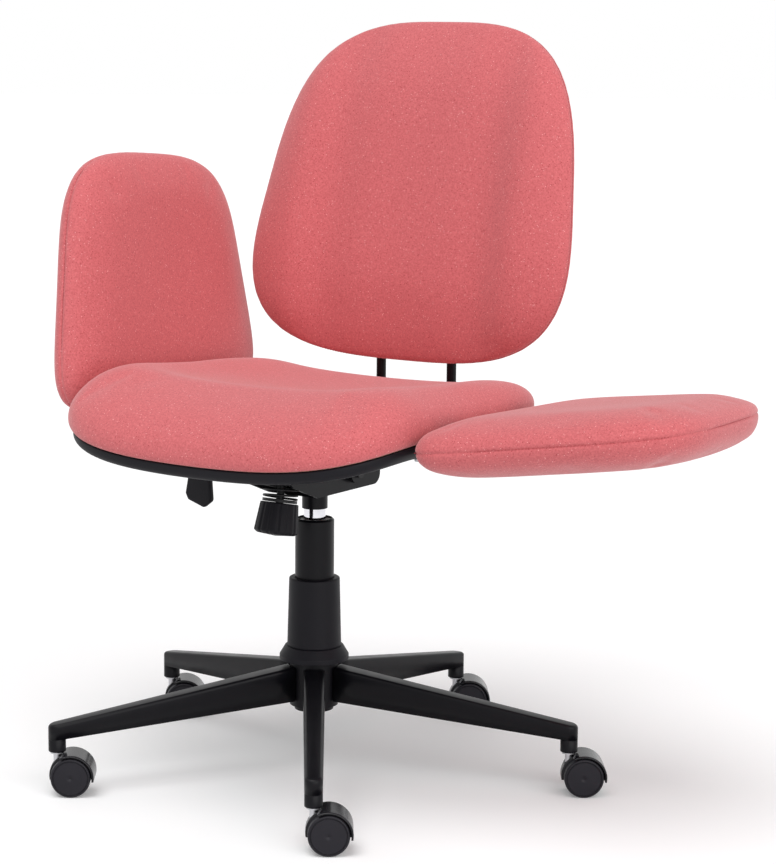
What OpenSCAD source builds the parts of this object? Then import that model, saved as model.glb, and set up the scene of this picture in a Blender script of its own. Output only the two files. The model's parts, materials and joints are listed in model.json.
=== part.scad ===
// Swivel chair with a round five legged base, a gas column and two wing pads.
// The wing on the sitter's left is folded down beside the seat, the other one stands up.
// Sizes are in millimetres. The floor is z = 0, the front faces -Y, and Z is the column's axis.

/* [Casters] */
// Diameter of a caster wheel
wheel_d = 50; // [44:1:54]
// Width of one of a caster's two wheels
wheel_w = 15; // [12:0.5:17]
// Distance from the swivel stem back to the wheel axle
caster_trail = 18; // [16:0.5:20]
// Diameter of the wheel axle
wheel_axle_d = 6; // [4:0.5:8]
// Width of the web between the two wheels
caster_web_w = 16; // [15:0.5:18]
// Thickness of the hood over the wheels
hood_wall = 2.5; // [2:0.1:3]
// Gap between the wheels and the hood
hood_gap = 1.5; // [1:0.1:2]
// Direction in which the casters trail at rest, in degrees
caster_heading = 35; // [0:1:359]

/* [Base] */
// Radius of the circle on which the caster stems stand
stem_circle_r = 337.5; // [320:0.5:360]
// Diameter of the caster stem in its socket
stem_d = 11; // [10:0.5:12]
// Height of the leg end's underside above the floor
leg_tip_low_z = 70; // [67:0.5:74]
// Height of the leg's top face at its tip
leg_tip_top_z = 89; // [87:0.5:94]
// Height of the leg's top face at the hub
leg_hub_top_z = 144; // [139:0.5:147]
// Height of the leg's underside at the hub
leg_hub_low_z = 98; // [95:0.5:103]
// Width of a leg at the hub
leg_hub_w = 28; // [24:0.5:34]
// Width of a leg at its tip
leg_tip_w = 22; // [20:0.5:23]
// Wall thickness of the pressed legs
leg_wall = 2.5; // [2:0.1:3]
// Diameter of the hub tube
hub_d = 62; // [60:0.5:66]
// Height of the hub tube's top
hub_top_z = 153; // [150:0.5:155]

/* [Column] */
// Diameter of the outer column tube
column_d = 50; // [48:0.5:52]
// Height of the outer column tube's top
column_top_z = 333; // [326:0.5:336]
// Diameter of the chromed gas cylinder
gas_d = 28; // [26:0.5:30]
// Height of the gas cylinder's top
gas_top_z = 407; // [403:0.5:409]
// Travel of the seat height adjustment
lift_travel = 100; // [60:1:110]
// Diameter of the piston rod
rod_d = 10; // [8:0.5:12]
// Diameter of the column cover at its foot
cover_foot_d = 69.5; // [66:0.5:74]
// Diameter of the column cover at its top
cover_top_d = 65; // [60:0.5:66]
// Height of the column cover's top
cover_top_z = 256; // [221:1:271]

/* [Tilt mechanism] */
// Height of the tilt axle
axle_z = 393; // [391:0.5:395]
// Distance of the tilt axle behind the column
axle_y = 30; // [28:0.5:34]
// Diameter of the tilt axle
axle_d = 12; // [10:0.5:14]
// Width of the housing over its side walls
housing_w = 76; // [74:0.5:78]
// Height of the housing's underside
housing_low_z = 369; // [367:0.5:371]
// Thickness of the housing's sheet
housing_wall = 3; // [2.5:0.1:3.4]
// Width of the seat plate
seat_plate_w = 150; // [140:1:170]
// Thickness of the seat plate
seat_plate_t = 4.7; // [4:0.1:5]

/* [Tension knob] */
// Diameter of the tension knob at its foot
knob_d = 56; // [50:0.5:60]
// Length of the tension knob
knob_h = 42; // [36:0.5:46]
// How far the knob can climb along its bolt
knob_travel = 3.5; // [3:0.5:5]
// Height of the knob's top, at its centre
knob_top_z = 364; // [360:0.5:367]
// Distance of the knob's top in front of the column
knob_y = 77; // [74:0.5:80]
// Lean of the tension bolt, in degrees
bolt_lean = 12; // [8:0.5:14]
// Diameter of the tension spring at the middle of its wire
spring_d = 42; // [38:0.5:44]
// Thickness of the spring wire
spring_wire = 3; // [2.6:0.1:3.4]
// Length of the tension spring
spring_h = 46; // [44:0.5:48]

/* [Lift lever] */
// Diameter of the lever rod
lever_d = 8; // [7:0.5:9]
// Distance of the lever's grip from the column
lever_reach = 185; // [170:1:195]
// Length of the hanging grip
grip_h = 70; // [60:1:80]
// Width of the grip
grip_w = 43; // [36:1:50]
// Thickness of the grip
grip_t = 9; // [7:0.5:11]

/* [Seat] */
// Half the width of the seat cushion
seat_half_w = 257; // [254:0.5:259]
// Distance from the column to the cushion's front edge
seat_front = 266; // [255:1:285]
// Distance from the column to the cushion's rear edge
seat_rear = 228; // [220:1:229]
// Height of the shell's underside at the middle of the seat
shell_low_z = 435; // [434:0.5:437]
// Height of the shell's rim from its underside
shell_h = 17.5; // [16.5:0.5:20]
// Wall thickness of the shell
shell_wall = 3.3; // [2.5:0.1:3.6]
// Inset of the shell's rim inside the cushion's edge
shell_inset = 5; // [4:0.5:7]
// Height of the cushion's crown above its edge
seat_crown = 42; // [34:1:46]
// Depth of the dish in the middle of the cushion
seat_dish = 10; // [4:0.5:14]
// Forward rise of the cushion's top, as a share of the distance from the column
seat_wedge = 0.08; // [0:0.01:0.1]
// Height of the cushion's widest line above its underside
seat_edge_h = 13; // [10:0.5:15]
// Rise of the seat towards its two sides
side_rise = 16; // [10:0.5:18]
// Drop of the seat at its front edge
front_drop = 20; // [12:0.5:26]

/* [Backrest] */
// Half the width of the backrest
back_half_w = 239; // [225:0.5:241]
// Length of the backrest above its middle
back_up = 236; // [225:1:248]
// Length of the backrest below its middle
back_down = 222; // [210:1:225]
// Height of the backrest's middle
back_z = 730.5; // [722:0.5:750]
// Distance of the backrest's middle behind the column
back_y = 250.5; // [247:0.5:256]
// Recline of the backrest, in degrees
back_recline = 13.6; // [11:0.2:15]
// Thickness of the backrest in front of its seam
back_front_t = 35; // [28:0.5:42]
// Thickness of the backrest behind its seam
back_rear_t = 33; // [31:0.5:38]
// Wrap of the backrest's sides towards the sitter
back_wrap = 22; // [10:0.5:28]
// Diameter of the two back bars
bar_d = 13; // [11:0.5:14]
// Distance between the two back bars
bar_spacing = 112; // [96:1:120]
// Distance of the upright part of the bars behind the column
bar_y = 235.5; // [235.5:0.5:238]
// Thickness of the boards inside the back and the wings
board_t = 9.5; // [8:0.5:9.5]

/* [Wings] */
// Distance of a wing's hinge axis inside the seat's widest line
hinge_in = 2; // [-1:0.5:2]
// Height of a wing's hinge axis
hinge_z = 472; // [471:0.5:474]
// Length of a wing from its hinge axis to its tip
wing_reach = 318; // [290:1:335]
// Length of a wing beyond its hinge axis
wing_root = 12; // [9:0.5:12]
// Thickness of a wing
wing_t = 63; // [54:0.5:64]
// Half the fore and aft length of a wing at its middle
wing_half_l = 185; // [165:1:187]
// Distance of a wing's middle behind the column
wing_y = 30; // [24:0.5:36]
// Upward slope of a wing when it is folded down, in degrees
wing_slope = 7.5; // [5:0.1:8.5]
// Outward lean of a wing when it stands up, in degrees
wing_lean = 5.5; // [4:0.1:8]
// Diameter of a wing's hinge pins
pin_d = 6; // [5:0.5:7]
// Diameter of the hinge eyes
eye_d = 11.6; // [11:0.1:12]

/* [Hidden] */
$fn = 48;

// Named clearances and overruns
run_gap = 0.05;          // radial gap of a running or seated round fit
seat_gap = 0.3;          // gap at which one piece rests beside another
cut = 20;                // overrun of every cut
sheet_fillet = 4;        // corner rounding of the metal sheets

// Caster
wheel_r = wheel_d / 2;
hood_r = wheel_r + hood_gap + hood_wall;
hood_half_w = caster_web_w / 2 + wheel_w + seat_gap;
hood_start = -8;         // degrees, from the trailing side upwards
hood_end = 120;
bucket_r = 19;           // round housing of the stem
bucket_low_z = 17.5;
bucket_top_z = 50;
bucket_wall = 2;
bucket_recess = 3.5;
boss_r = caster_web_w / 2;
boss_low_z = wheel_r + wheel_axle_d / 2 + 2 * hood_wall;
boss_top_z = 52;         // top of the boss that turns on the stem
stem_low_d = 9.6;        // stem diameter inside the hood's boss
stem_collar_d = 17;
stem_collar_h = 1.6;
wheel_chamfer = 2.2;
wheel_dish = 2;
wheel_face_r = 17;       // radius of the raised middle of the wheel's face
axle_end_gap = 1.5;

// Base
leg_start = caster_heading - 90; // degrees, the direction of the first leg
leg_step = 72;
hub_r = hub_d / 2;
hub_low_z = 89;
socket_r = leg_tip_w / 2;
socket_low_z = 54.5;
socket_top_z = leg_tip_top_z - 2 * leg_wall;
collar_d = 89;
collar_low_z = 149;
collar_top_z = 167;
collar_skirt_h = 6;

// Column
column_wall = 3;
column_low_z = 83;
column_r = column_d / 2;
column_in_r = column_r - column_wall;
column_lip = 2.5;        // rounding of the tube's top edge
bush_h = 80;
gas_r = gas_d / 2;
gas_low_z = 103;
gas_wall = 2;
gas_floor = 6;
gas_cap = 12;
piston_h = 14;
piston_gap = 4;
rod_r = rod_d / 2;
bearing_h = 8;
bearing_r = 14;
shoulder_r = 9;
shoulder_h = 4;
clip_h = 3;
clip_r = 9;
button_r = 3;
rod_tail = 8;

// Tilt mechanism
housing_half = housing_w / 2;
housing_front = 104;
housing_floor_front = 48;
housing_rear = 93;
housing_top_z = 421;
housing_nose_z = 393;
housing_tail_z = 411;
housing_tail_r = 14;
socket_wall = 2.4;
socket_bottom_z = 346;
ear_gap = 3;
ear_t = 5;
ear_half_w = 15;
bush_r = 8;
bush_flange_r = 11;
bush_flange_t = 2.6;
plate_front = 112;
plate_rear = 104;
plate_low_z = shell_low_z - seat_gap - seat_plate_t;
bolt_r = 3;
bolt_head_r = 6;
bolt_head_h = 4;
plate_bolt_x = 58;
plate_bolt_front = 88;
plate_bolt_rear = 80;
bracket_bolt_x = 26;

// Tension bolt, in a frame whose Z runs up the bolt from the knob's top
bolt_shank_r = 5;
bolt_foot = 36;
washer_r = 22;
washer_t = 3.7;
lip_t = 4;
lip_half = 27;
lip_hole_r = 13;
lip_s = seat_gap + washer_t + seat_gap + spring_h + seat_gap;
spring_turns = 7;
ring_count = 8;          // rings in one turn of the spring
end_wires = 1.6;         // height of a straight end, in wire thicknesses
knob_flutes = 14;
flute_share = 0.05;      // flute radius as a share of the knob
dome_share = 0.07;       // height of the knob's domed foot as a share of the knob
stop_x = 26;
stop_r = 6;

// Lever
lever_y = 0;
lever_slope = 9;         // degrees, down towards the grip
pivot_pin_d = 3;
pivot_ear_t = 3;
pivot_ear_w = 5;
lever_pivot_x = housing_half - housing_wall - pivot_ear_w / 2;
lever_pivot_z = 412;
lever_hole_gap = 0.8;
pivot_pin_half = lever_d / 2 + lever_hole_gap + pivot_ear_t;
lever_inner = 7;
lever_over_button_z = lever_pivot_z + lever_pivot_x * tan(lever_slope);
button_top_z = lever_over_button_z - lever_d / 2 / cos(lever_slope) - button_r * tan(lever_slope)
    - seat_gap;
grip_rod_z = lever_pivot_z - (lever_reach - lever_pivot_x) * tan(lever_slope);
// Grip outline in shares of its width and height
grip_shares = [
    [0.22, 1], [0.12, 0.62], [0, 0.24], [0.1, 0.12], [0.7, 0], [1, 0.14], [0.94, 0.62], [0.88, 1]];

// Seat
rim_z = shell_low_z + shell_h;
drop_start = 120;
seat_sides = 44;
seat_front_power = 3.9;  // powers of a superellipse: larger is squarer
seat_rear_power = 5;
seat_taper_share = 0.03; // how much the seat narrows towards its rear
waist_share = 0.07;      // how much the seat narrows between the wings
waist_y = 22;
waist_l = 200;
waist_power = 4;
crown_power = 6;
seat_levels = 9;
// Shares of the outline at which the flat faces have rings
flat_shares = [0.3, 0.45, 0.55, 0.65, 0.75, 0.83, 0.91];
top_share = 0.3;         // last ring of a crown
shell_rim_t = 4;
board_gap = 0.5;
saddle_shares = [0.35, 0.85];  // places of the straps along the bars
back_board_share = 0.86;
back_crown_power = 4.5;
back_levels = 9;
cover_levels = 7;

// Back
back_power_up = 3.2;
back_power_down = 3.2;
back_taper = 0.13;
back_wall = 6;
// Height at which the bars bend to follow the backrest, just behind its board
back_bar_z = back_z
    - (board_t + seat_gap + bar_d / 2 + (back_y - bar_y) * cos(back_recline)) / sin(back_recline);
bar_run_z = 425.4;       // height of the bars under the seat
bar_bend_r = 26;
bar_top = 170;           // length of a bar above its bend
bar_front_y = 122;
bracket_half_w = 76;
bracket_front = 116;
bracket_rear = 182;
saddle_w = 30;
saddle_h = 16;
saddle_t = 2;
bracket_t = 2.5;

// Wing
hinge_x = seat_half_w - hinge_in;
wing_root_power = 8.5;
wing_tip_power = 3.5;
wing_taper_share = 0.165;
wing_drift = 4;          // how far its middle line moves rearwards towards the tip
wing_sides = 40;
wing_edge_power = 6.4;
wing_levels = 6;
wing_mid_q = -15;        // height of a wing's middle over its hinge axis
board_share = 0.8;
notch_depth = 32;
arm_t = 4;
arm_w = 40;
arm_in_x = hinge_x - 110;
arm_bolt_in = hinge_x - 90;
arm_bolt_out = hinge_x - 52;
arm_bolt_drop = 0.8;     // depth of a screw's head below the middle of a sloping arm
leaf_w = 18;
leaf_t = 4;
leaf_l = 62;
hinge_front_y = -70;
hinge_rear_y = 120;
eye_gap = 0.3;

// Signed power, used for the superellipse outlines
function spow(a, e) = sign(a) * pow(abs(a), e);

// Unit outline, counterclockwise, with a power for each half
function unit_point(t, up_power, low_power) =
    let (n = sin(t) >= 0 ? up_power : low_power)
    [spow(cos(t), 2 / n), spow(sin(t), 2 / n)];

// Closed solid from rings of points: low is the pole under the first ring
module closed_loft(low, rings, high) {
    n = len(rings[0]);
    m = len(rings);
    points = concat([low], [for (r = rings) each r], [high]);
    last = 1 + (m - 1) * n;
    polyhedron(points, concat(
        [for (j = [0 : n - 1]) [0, 1 + j, 1 + (j + 1) % n]],
        [for (i = [0 : m - 2], j = [0 : n - 1])
            let (a = 1 + i * n + j, b = 1 + i * n + (j + 1) % n) each [[a, b + n, b], [a, a + n, b + n]]],
        [for (j = [0 : n - 1]) [last + n, last + (j + 1) % n, last + j]]), convexity = 6);
}

// Crown rings: pairs of an outline share and a height share, from the edge to near the middle
function crown_steps(power, steps) =
    [for (i = [1 : steps]) let (p = 90 * i / (steps + 1)) [pow(cos(p), 2 / power), sin(p)]];

// Tube along points, each ring square to the path, with a fixed side direction for its first corner
module swept_tube(path, radius, sides) {
    m = len(path);
    function tangent(i) = let (
        a = path[max(i - 1, 0)], b = path[min(i + 1, m - 1)], d = b - a) d / norm(d);
    function ring(i) = let (
        t = tangent(i),
        flat = [path[i][0], path[i][1], 0],
        out0 = flat / norm(flat),
        out = out0 - (out0 * t) * t,
        o = out / norm(out),
        s = cross(t, o))
        [for (j = [0 : sides - 1]) path[i] + radius * (o * cos(360 * j / sides) + s * sin(360 * j / sides))];
    closed_loft(path[0], [for (i = [0 : m - 1]) ring(i)], path[m - 1]);
}

// Places its children at each caster: the child's origin is on the floor under the stem
module at_caster(i) {
    rotate([0, 0, leg_start + leg_step * (i - 1)])
        translate([stem_circle_r, 0, 0])
            rotate([0, 0, caster_heading - leg_start - leg_step * (i - 1)])
                children();
}

module base_hub() {
    color("#1d1d20")
    rotate_extrude($fn = 72)
        polygon([
            [column_r + run_gap, hub_low_z], [hub_r, hub_low_z], [hub_r, hub_top_z],
            [column_r + run_gap, hub_top_z]]);
}

module hub_collar() {
    color("#1b1b1e")
    rotate_extrude($fn = 72)
        polygon([
            [column_r + run_gap, hub_top_z], [hub_r + hood_wall, hub_top_z],
            [collar_d / 2 - leg_wall, collar_low_z], [collar_d / 2, collar_low_z],
            [collar_d / 2, collar_low_z + collar_skirt_h],
            [cover_foot_d / 2 + leg_wall, collar_top_z], [column_r + run_gap, collar_top_z]]);
}

// Plan and side outline of a leg, drawn in by inset on every wall but the underside
module leg_block(inset) {
    tip_r = stem_circle_r + socket_r;
    intersection() {
        translate([0, 0, socket_low_z - cut])
            linear_extrude(leg_hub_top_z + cut)
                polygon([
                    [hub_r / 2, -leg_hub_w / 2 + inset], [tip_r - inset, -leg_tip_w / 2 + inset],
                    [tip_r - inset, leg_tip_w / 2 - inset], [hub_r / 2, leg_hub_w / 2 - inset]]);
        translate([0, leg_hub_w, 0])
            rotate([90, 0, 0])
                linear_extrude(2 * leg_hub_w)
                    polygon([
                        [hub_r / 2, leg_hub_low_z - (inset > 0 ? cut : 0)],
                        [tip_r, leg_tip_low_z - (inset > 0 ? cut : 0)],
                        [tip_r, leg_tip_top_z - inset], [hub_r / 2, leg_hub_top_z - inset]]);
    }
}

module base_leg(i) {
    color("#1a1a1d")
    rotate([0, 0, leg_start + leg_step * (i - 1)])
    difference() {
        union() {
            difference() {
                intersection() {
                    leg_block(0);
                    union() {
                        translate([0, -leg_hub_w, 0])
                            cube([stem_circle_r, 2 * leg_hub_w, leg_hub_top_z]);
                        translate([stem_circle_r, 0, 0])
                            cylinder(r = socket_r, h = leg_hub_top_z);
                    }
                }
                leg_block(leg_wall);
            }
            translate([stem_circle_r, 0, socket_low_z])
                cylinder(r = socket_r, h = socket_top_z - socket_low_z);
        }
        translate([0, 0, hub_low_z - cut])
            cylinder(r = hub_r, h = leg_hub_top_z, $fn = 72);
        translate([stem_circle_r, 0, socket_low_z - cut])
            cylinder(d = stem_d + 2 * run_gap, h = socket_top_z - socket_low_z - leg_wall + cut);
    }
}

module caster_stems() {
    color("silver")
    for (i = [1 : 5])
        at_caster(i) {
            translate([0, 0, boss_low_z + seat_gap])
                cylinder(d = stem_low_d, h = boss_top_z - boss_low_z);
            translate([0, 0, boss_top_z + seat_gap])
                cylinder(d = stem_collar_d, h = stem_collar_h);
            translate([0, 0, boss_top_z + seat_gap + stem_collar_h])
                cylinder(d = stem_d,
                    h = socket_top_z - leg_wall - seat_gap - boss_top_z - seat_gap - stem_collar_h);
        }
}

module column_tube() {
    color("#17171a")
    rotate_extrude($fn = 72)
        polygon([
            [rod_r + run_gap, column_low_z], [column_r, column_low_z],
            [column_r, column_top_z - column_lip], [column_r - column_lip, column_top_z],
            [column_in_r, column_top_z], [column_in_r, column_low_z + column_wall],
            [rod_r + run_gap, column_low_z + column_wall]]);
}

module column_cover() {
    lip = 4 * leg_wall;
    color("#1d1d21")
    rotate_extrude($fn = 72)
        polygon([
            [column_r + leg_wall, collar_top_z], [cover_foot_d / 2, collar_top_z],
            [cover_top_d / 2, cover_top_z - leg_wall], [cover_top_d / 2 - leg_wall, cover_top_z],
            [column_r + run_gap, cover_top_z], [column_r + run_gap, cover_top_z - lip],
            [column_r + leg_wall, cover_top_z - 2 * lip]]);
}

module guide_bush() {
    color("#d8d8d4")
    translate([0, 0, column_top_z - bush_h])
        difference() {
            cylinder(r = column_in_r - run_gap, h = bush_h - column_lip);
            translate([0, 0, -cut])
                cylinder(r = gas_r + run_gap, h = bush_h + 2 * cut);
        }
}

module thrust_bearing() {
    color("#9a9a9e")
    translate([0, 0, column_low_z + column_wall])
        difference() {
            cylinder(r = bearing_r, h = bearing_h);
            translate([0, 0, -cut])
                cylinder(r = rod_r + run_gap, h = bearing_h + 2 * cut);
        }
}

module piston_rod() {
    rod_low = column_low_z - rod_tail;
    shoulder_z = column_low_z + column_wall + bearing_h + seat_gap;
    piston_z = gas_low_z + gas_floor + lift_travel + piston_gap;
    color("#c9c9cd") {
        translate([0, 0, rod_low])
            cylinder(r = rod_r, h = piston_z - rod_low);
        translate([0, 0, shoulder_z])
            cylinder(r = shoulder_r, h = shoulder_h);
        translate([0, 0, piston_z])
            cylinder(r = gas_r - gas_wall - run_gap, h = piston_h);
        translate([0, 0, column_low_z - seat_gap - clip_h])
            cylinder(r = clip_r, h = clip_h);
    }
}

module gas_cylinder() {
    color("#d0d0d4")
    rotate_extrude($fn = 72)
        polygon([
            [rod_r + run_gap, gas_low_z], [gas_r, gas_low_z], [gas_r, gas_top_z],
            [button_r + run_gap, gas_top_z], [button_r + run_gap, gas_top_z - gas_cap],
            [gas_r - gas_wall, gas_top_z - gas_cap], [gas_r - gas_wall, gas_low_z + gas_floor],
            [rod_r + run_gap, gas_low_z + gas_floor]]);
}

module release_button() {
    color("#c04040")
    translate([0, 0, gas_top_z - gas_cap - piston_gap])
        cylinder(r = button_r, h = button_top_z - gas_top_z + gas_cap + piston_gap);
}

// Half section of the round housing at the stem, with a recessed top and a rounded foot
module bucket_section() {
    foot = bucket_r - boss_r;
    polygon(concat(
        [[0, bucket_low_z]],
        [for (a = [90 : -15 : 0]) [
            bucket_r - foot * (1 - cos(a)), bucket_low_z + foot * (1 - sin(a))]],
        [[bucket_r, bucket_top_z], [bucket_r - bucket_wall, bucket_top_z],
            [bucket_r - bucket_wall, bucket_top_z - bucket_recess], [0, bucket_top_z - bucket_recess]]));
}

// Hood that carries the stem's boss and the axle's web, with its arc over the wheels
module caster_hood(i) {
    color("#1a1a1c")
    at_caster(i)
    difference() {
        union() {
            translate([caster_trail, 0, wheel_r])
                rotate([90, 0, 0])
                    difference() {
                        translate([0, 0, -hood_half_w])
                            cylinder(r = hood_r, h = 2 * hood_half_w, $fn = 72);
                        translate([0, 0, -hood_half_w - cut])
                            cylinder(r = wheel_r + hood_gap, h = 2 * (hood_half_w + cut), $fn = 72);
                        translate([0, 0, -hood_half_w - cut])
                            linear_extrude(2 * (hood_half_w + cut))
                                polygon([
                                    [0, 0], 2 * hood_r * [cos(hood_end), sin(hood_end)],
                                    2 * hood_r * [-1, -1], 2 * hood_r * [1, -1],
                                    2 * hood_r * [cos(hood_start), sin(hood_start)]]);
                    }
            translate([caster_trail, caster_web_w / 2 - seat_gap, wheel_r])
                rotate([90, 0, 0])
                    difference() {
                        cylinder(r = hood_r - hood_wall / 2, h = caster_web_w - 2 * seat_gap, $fn = 72);
                        translate([-2 * hood_r, -2 * hood_r - wheel_axle_d, -cut])
                            cube([4 * hood_r, 2 * hood_r, caster_web_w + 2 * cut]);
                    }
            translate([0, 0, boss_low_z - hood_wall])
                cylinder(r = boss_r - seat_gap, h = boss_top_z - boss_low_z + hood_wall);
            rotate_extrude($fn = 72)
                bucket_section();
        }
        for (side = [0, 180])
            rotate([0, 0, side])
                translate([side > 0 ? -caster_trail : caster_trail, 0, wheel_r])
                    rotate([-90, 0, 0])
                        translate([0, 0, caster_web_w / 2 - seat_gap])
                            cylinder(r = wheel_r + hood_gap, h = cut, $fn = 72);
        translate([0, 0, boss_low_z])
            cylinder(d = stem_low_d + 2 * run_gap, h = boss_top_z);
        translate([0, 0, boss_top_z])
            cylinder(d = stem_collar_d + 2 * seat_gap, h = cut);
        translate([caster_trail, hood_half_w + cut, wheel_r])
            rotate([90, 0, 0])
                cylinder(d = wheel_axle_d + 2 * run_gap, h = 2 * (hood_half_w + cut));
    }
}

module wheel_axle(i) {
    half = hood_half_w - axle_end_gap;
    color("#8f8f94")
    at_caster(i)
        translate([caster_trail, half, wheel_r])
            rotate([90, 0, 0])
                cylinder(d = wheel_axle_d, h = 2 * half);
}

// A pair of wheels whose outer faces are chamfered and slightly dished
module caster_wheels(i) {
    inner = caster_web_w / 2;
    outer = inner + wheel_w;
    color("#202023")
    at_caster(i)
        translate([caster_trail, 0, wheel_r])
            for (side = [-90, 90])
                rotate([side, 0, 0])
                    rotate_extrude($fn = 72)
                        polygon([
                            [wheel_axle_d / 2 + run_gap, inner], [wheel_r - wheel_chamfer / 2, inner],
                            [wheel_r, inner + wheel_chamfer / 2], [wheel_r, outer - wheel_chamfer],
                            [wheel_r - wheel_chamfer, outer], [wheel_face_r + wheel_dish, outer],
                            [wheel_face_r, outer - wheel_dish],
                            [wheel_axle_d / 2 + run_gap, outer - wheel_dish]]);
}

// Side outline of the housing's walls, seen from the side with Y to the right
module housing_side() {
    polygon([
        [-housing_front, housing_nose_z], [-housing_front, housing_top_z], [axle_y, housing_top_z],
        [housing_rear, housing_tail_z], [housing_rear, housing_low_z + housing_tail_r],
        for (a = [0 : -15 : -90]) [
            housing_rear - housing_tail_r + housing_tail_r * cos(a),
            housing_low_z + housing_tail_r + housing_tail_r * sin(a)],
        [-housing_floor_front, housing_low_z], [-housing_front + lip_t, housing_nose_z - lip_t]]);
}

// Frame of the tension bolt: origin at the knob's top, Z up the bolt
module on_bolt() {
    translate([0, -knob_y, knob_top_z])
        rotate([-bolt_lean, 0, 0])
            children();
}

module tilt_housing() {
    socket_r_out = gas_r + run_gap + socket_wall;
    color("#1c1c1f")
    difference() {
        union() {
            for (side = [-1, 1])
                translate([side > 0 ? housing_half - housing_wall : -housing_half, 0, 0])
                    rotate([90, 0, 90])
                        linear_extrude(housing_wall)
                            housing_side();
            translate([-housing_half, -housing_floor_front, housing_low_z])
                cube([housing_w, housing_floor_front + housing_rear - housing_tail_r, housing_wall]);
            translate([0, 0, socket_bottom_z])
                cylinder(r = socket_r_out, h = gas_top_z - seat_gap - socket_bottom_z);
            on_bolt()
                translate([-housing_half + housing_wall / 2, -lip_half, lip_s])
                    cube([housing_w - housing_wall, 2 * lip_half, lip_t]);
            for (side = [-1, 1])
                translate([
                    -housing_half + housing_wall / 2,
                    lever_y + side * (pivot_pin_half - pivot_ear_t / 2) - pivot_ear_t / 2,
                    lever_pivot_z - pivot_ear_w])
                    cube([housing_wall / 2 + pivot_ear_w, pivot_ear_t, 2 * pivot_ear_w]);
        }
        translate([0, 0, socket_bottom_z - cut])
            cylinder(r = gas_r + run_gap, h = gas_top_z);
        on_bolt()
            translate([0, 0, lip_s - cut])
                cylinder(r = lip_hole_r, h = lip_t + 2 * cut);
        translate([-housing_half - cut, axle_y, axle_z])
            rotate([0, 90, 0])
                cylinder(r = bush_r + run_gap, h = housing_w + 2 * cut);
        translate([-housing_half - cut, lever_y, lever_pivot_z - lever_hole_gap / 2])
            rotate([0, 90, 0])
                cylinder(r = lever_d / 2 + lever_hole_gap, h = cut + housing_wall + run_gap);
        translate([-lever_pivot_x, lever_y + cut, lever_pivot_z])
            rotate([90, 0, 0])
                cylinder(d = pivot_pin_d + 2 * run_gap, h = 2 * cut);
    }
}

module axle_bushes() {
    color("#e4e2da")
    for (side = [-90, 90])
        translate([0, axle_y, axle_z])
            rotate([0, side, 0])
                rotate_extrude()
                    polygon([
                        [axle_d / 2 + run_gap, housing_half - housing_wall],
                        [bush_r, housing_half - housing_wall], [bush_r, housing_half + run_gap],
                        [bush_flange_r, housing_half + run_gap],
                        [bush_flange_r, housing_half + bush_flange_t],
                        [axle_d / 2 + run_gap, housing_half + bush_flange_t]]);
}

// Rubber pads on the front lip, on which the seat plate rests
module stop_pads() {
    color("#2b2b2b")
    intersection() {
        on_bolt()
            for (side = [-1, 1])
                translate([side * stop_x, 0, lip_s + lip_t + run_gap])
                    cylinder(r = stop_r, h = 2 * cut);
        translate([-housing_half, -housing_front - cut, housing_low_z])
            cube([housing_w, 2 * housing_front, plate_low_z - seat_gap - housing_low_z]);
    }
}

// Rod with the cross pin that it pivots on
module lever_rod() {
    run = lever_reach + lever_inner;
    color("#26262a") {
        translate([lever_inner, lever_y, lever_over_button_z + lever_inner * tan(lever_slope)])
            rotate([0, -90 - lever_slope, 0])
                cylinder(d = lever_d, h = run / cos(lever_slope));
        translate([-lever_pivot_x, lever_y + pivot_pin_half, lever_pivot_z])
            rotate([90, 0, 0])
                cylinder(d = pivot_pin_d, h = 2 * pivot_pin_half);
    }
}

// Hanging grip: a flat plate whose lower edge is cut to a blunt point
module lever_grip() {
    top = grip_rod_z + lever_d;
    low = top - grip_h;
    out = -lever_reach - grip_w / 2;
    corner = grip_t / 3;
    color("#17171a")
    difference() {
        translate([0, lever_y + grip_t / 2, 0])
            rotate([90, 0, 0])
                linear_extrude(grip_t)
                    offset(r = corner, $fn = 24)
                        offset(delta = -corner)
                            polygon([for (s = grip_shares) [out + s[0] * grip_w, low + s[1] * grip_h]]);
        translate([lever_inner, lever_y, lever_over_button_z + lever_inner * tan(lever_slope)])
            rotate([0, -90 - lever_slope, 0])
                cylinder(
                    d = lever_d + 2 * run_gap,
                    h = (lever_reach + lever_inner + seat_gap) / cos(lever_slope));
    }
}

// Seat surface height above its level at the middle
function seat_lift(x, y) =
    side_rise * pow(x / seat_half_w, 2)
    - front_drop * pow(max(0, -y - drop_start) / (seat_front - drop_start), 2);

// Width share of the seat at distance y: it tapers rearwards and has a waist between the wings
function seat_share(y) =
    (1 - seat_taper_share * y / seat_rear)
    * (1 - waist_share * exp(-pow(abs(y - waist_y) / waist_l, waist_power)));

// Ring of the seat's outline, drawn in by inset, at share f, with its surface at height z;
// wedge raises it towards the front
function seat_ring(f, inset, z, wedge = 0) =
    [for (j = [0 : seat_sides - 1])
        let (
            u = unit_point(360 * j / seat_sides, seat_rear_power, seat_front_power),
            y = f * ((u[1] > 0 ? seat_rear : seat_front) - inset) * u[1],
            x = f * (seat_half_w * seat_share(y) - inset) * u[0])
        [x, y, z + seat_lift(x, y) - wedge * y]];

// Rings of a flat face of the seat's pieces, in order from the middle outwards or back inwards
function flat_rings(inset, z, inwards) =
    let (n = len(flat_shares))
    [for (i = [0 : n - 1]) seat_ring(flat_shares[inwards ? n - 1 - i : i], inset, z)];

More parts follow.
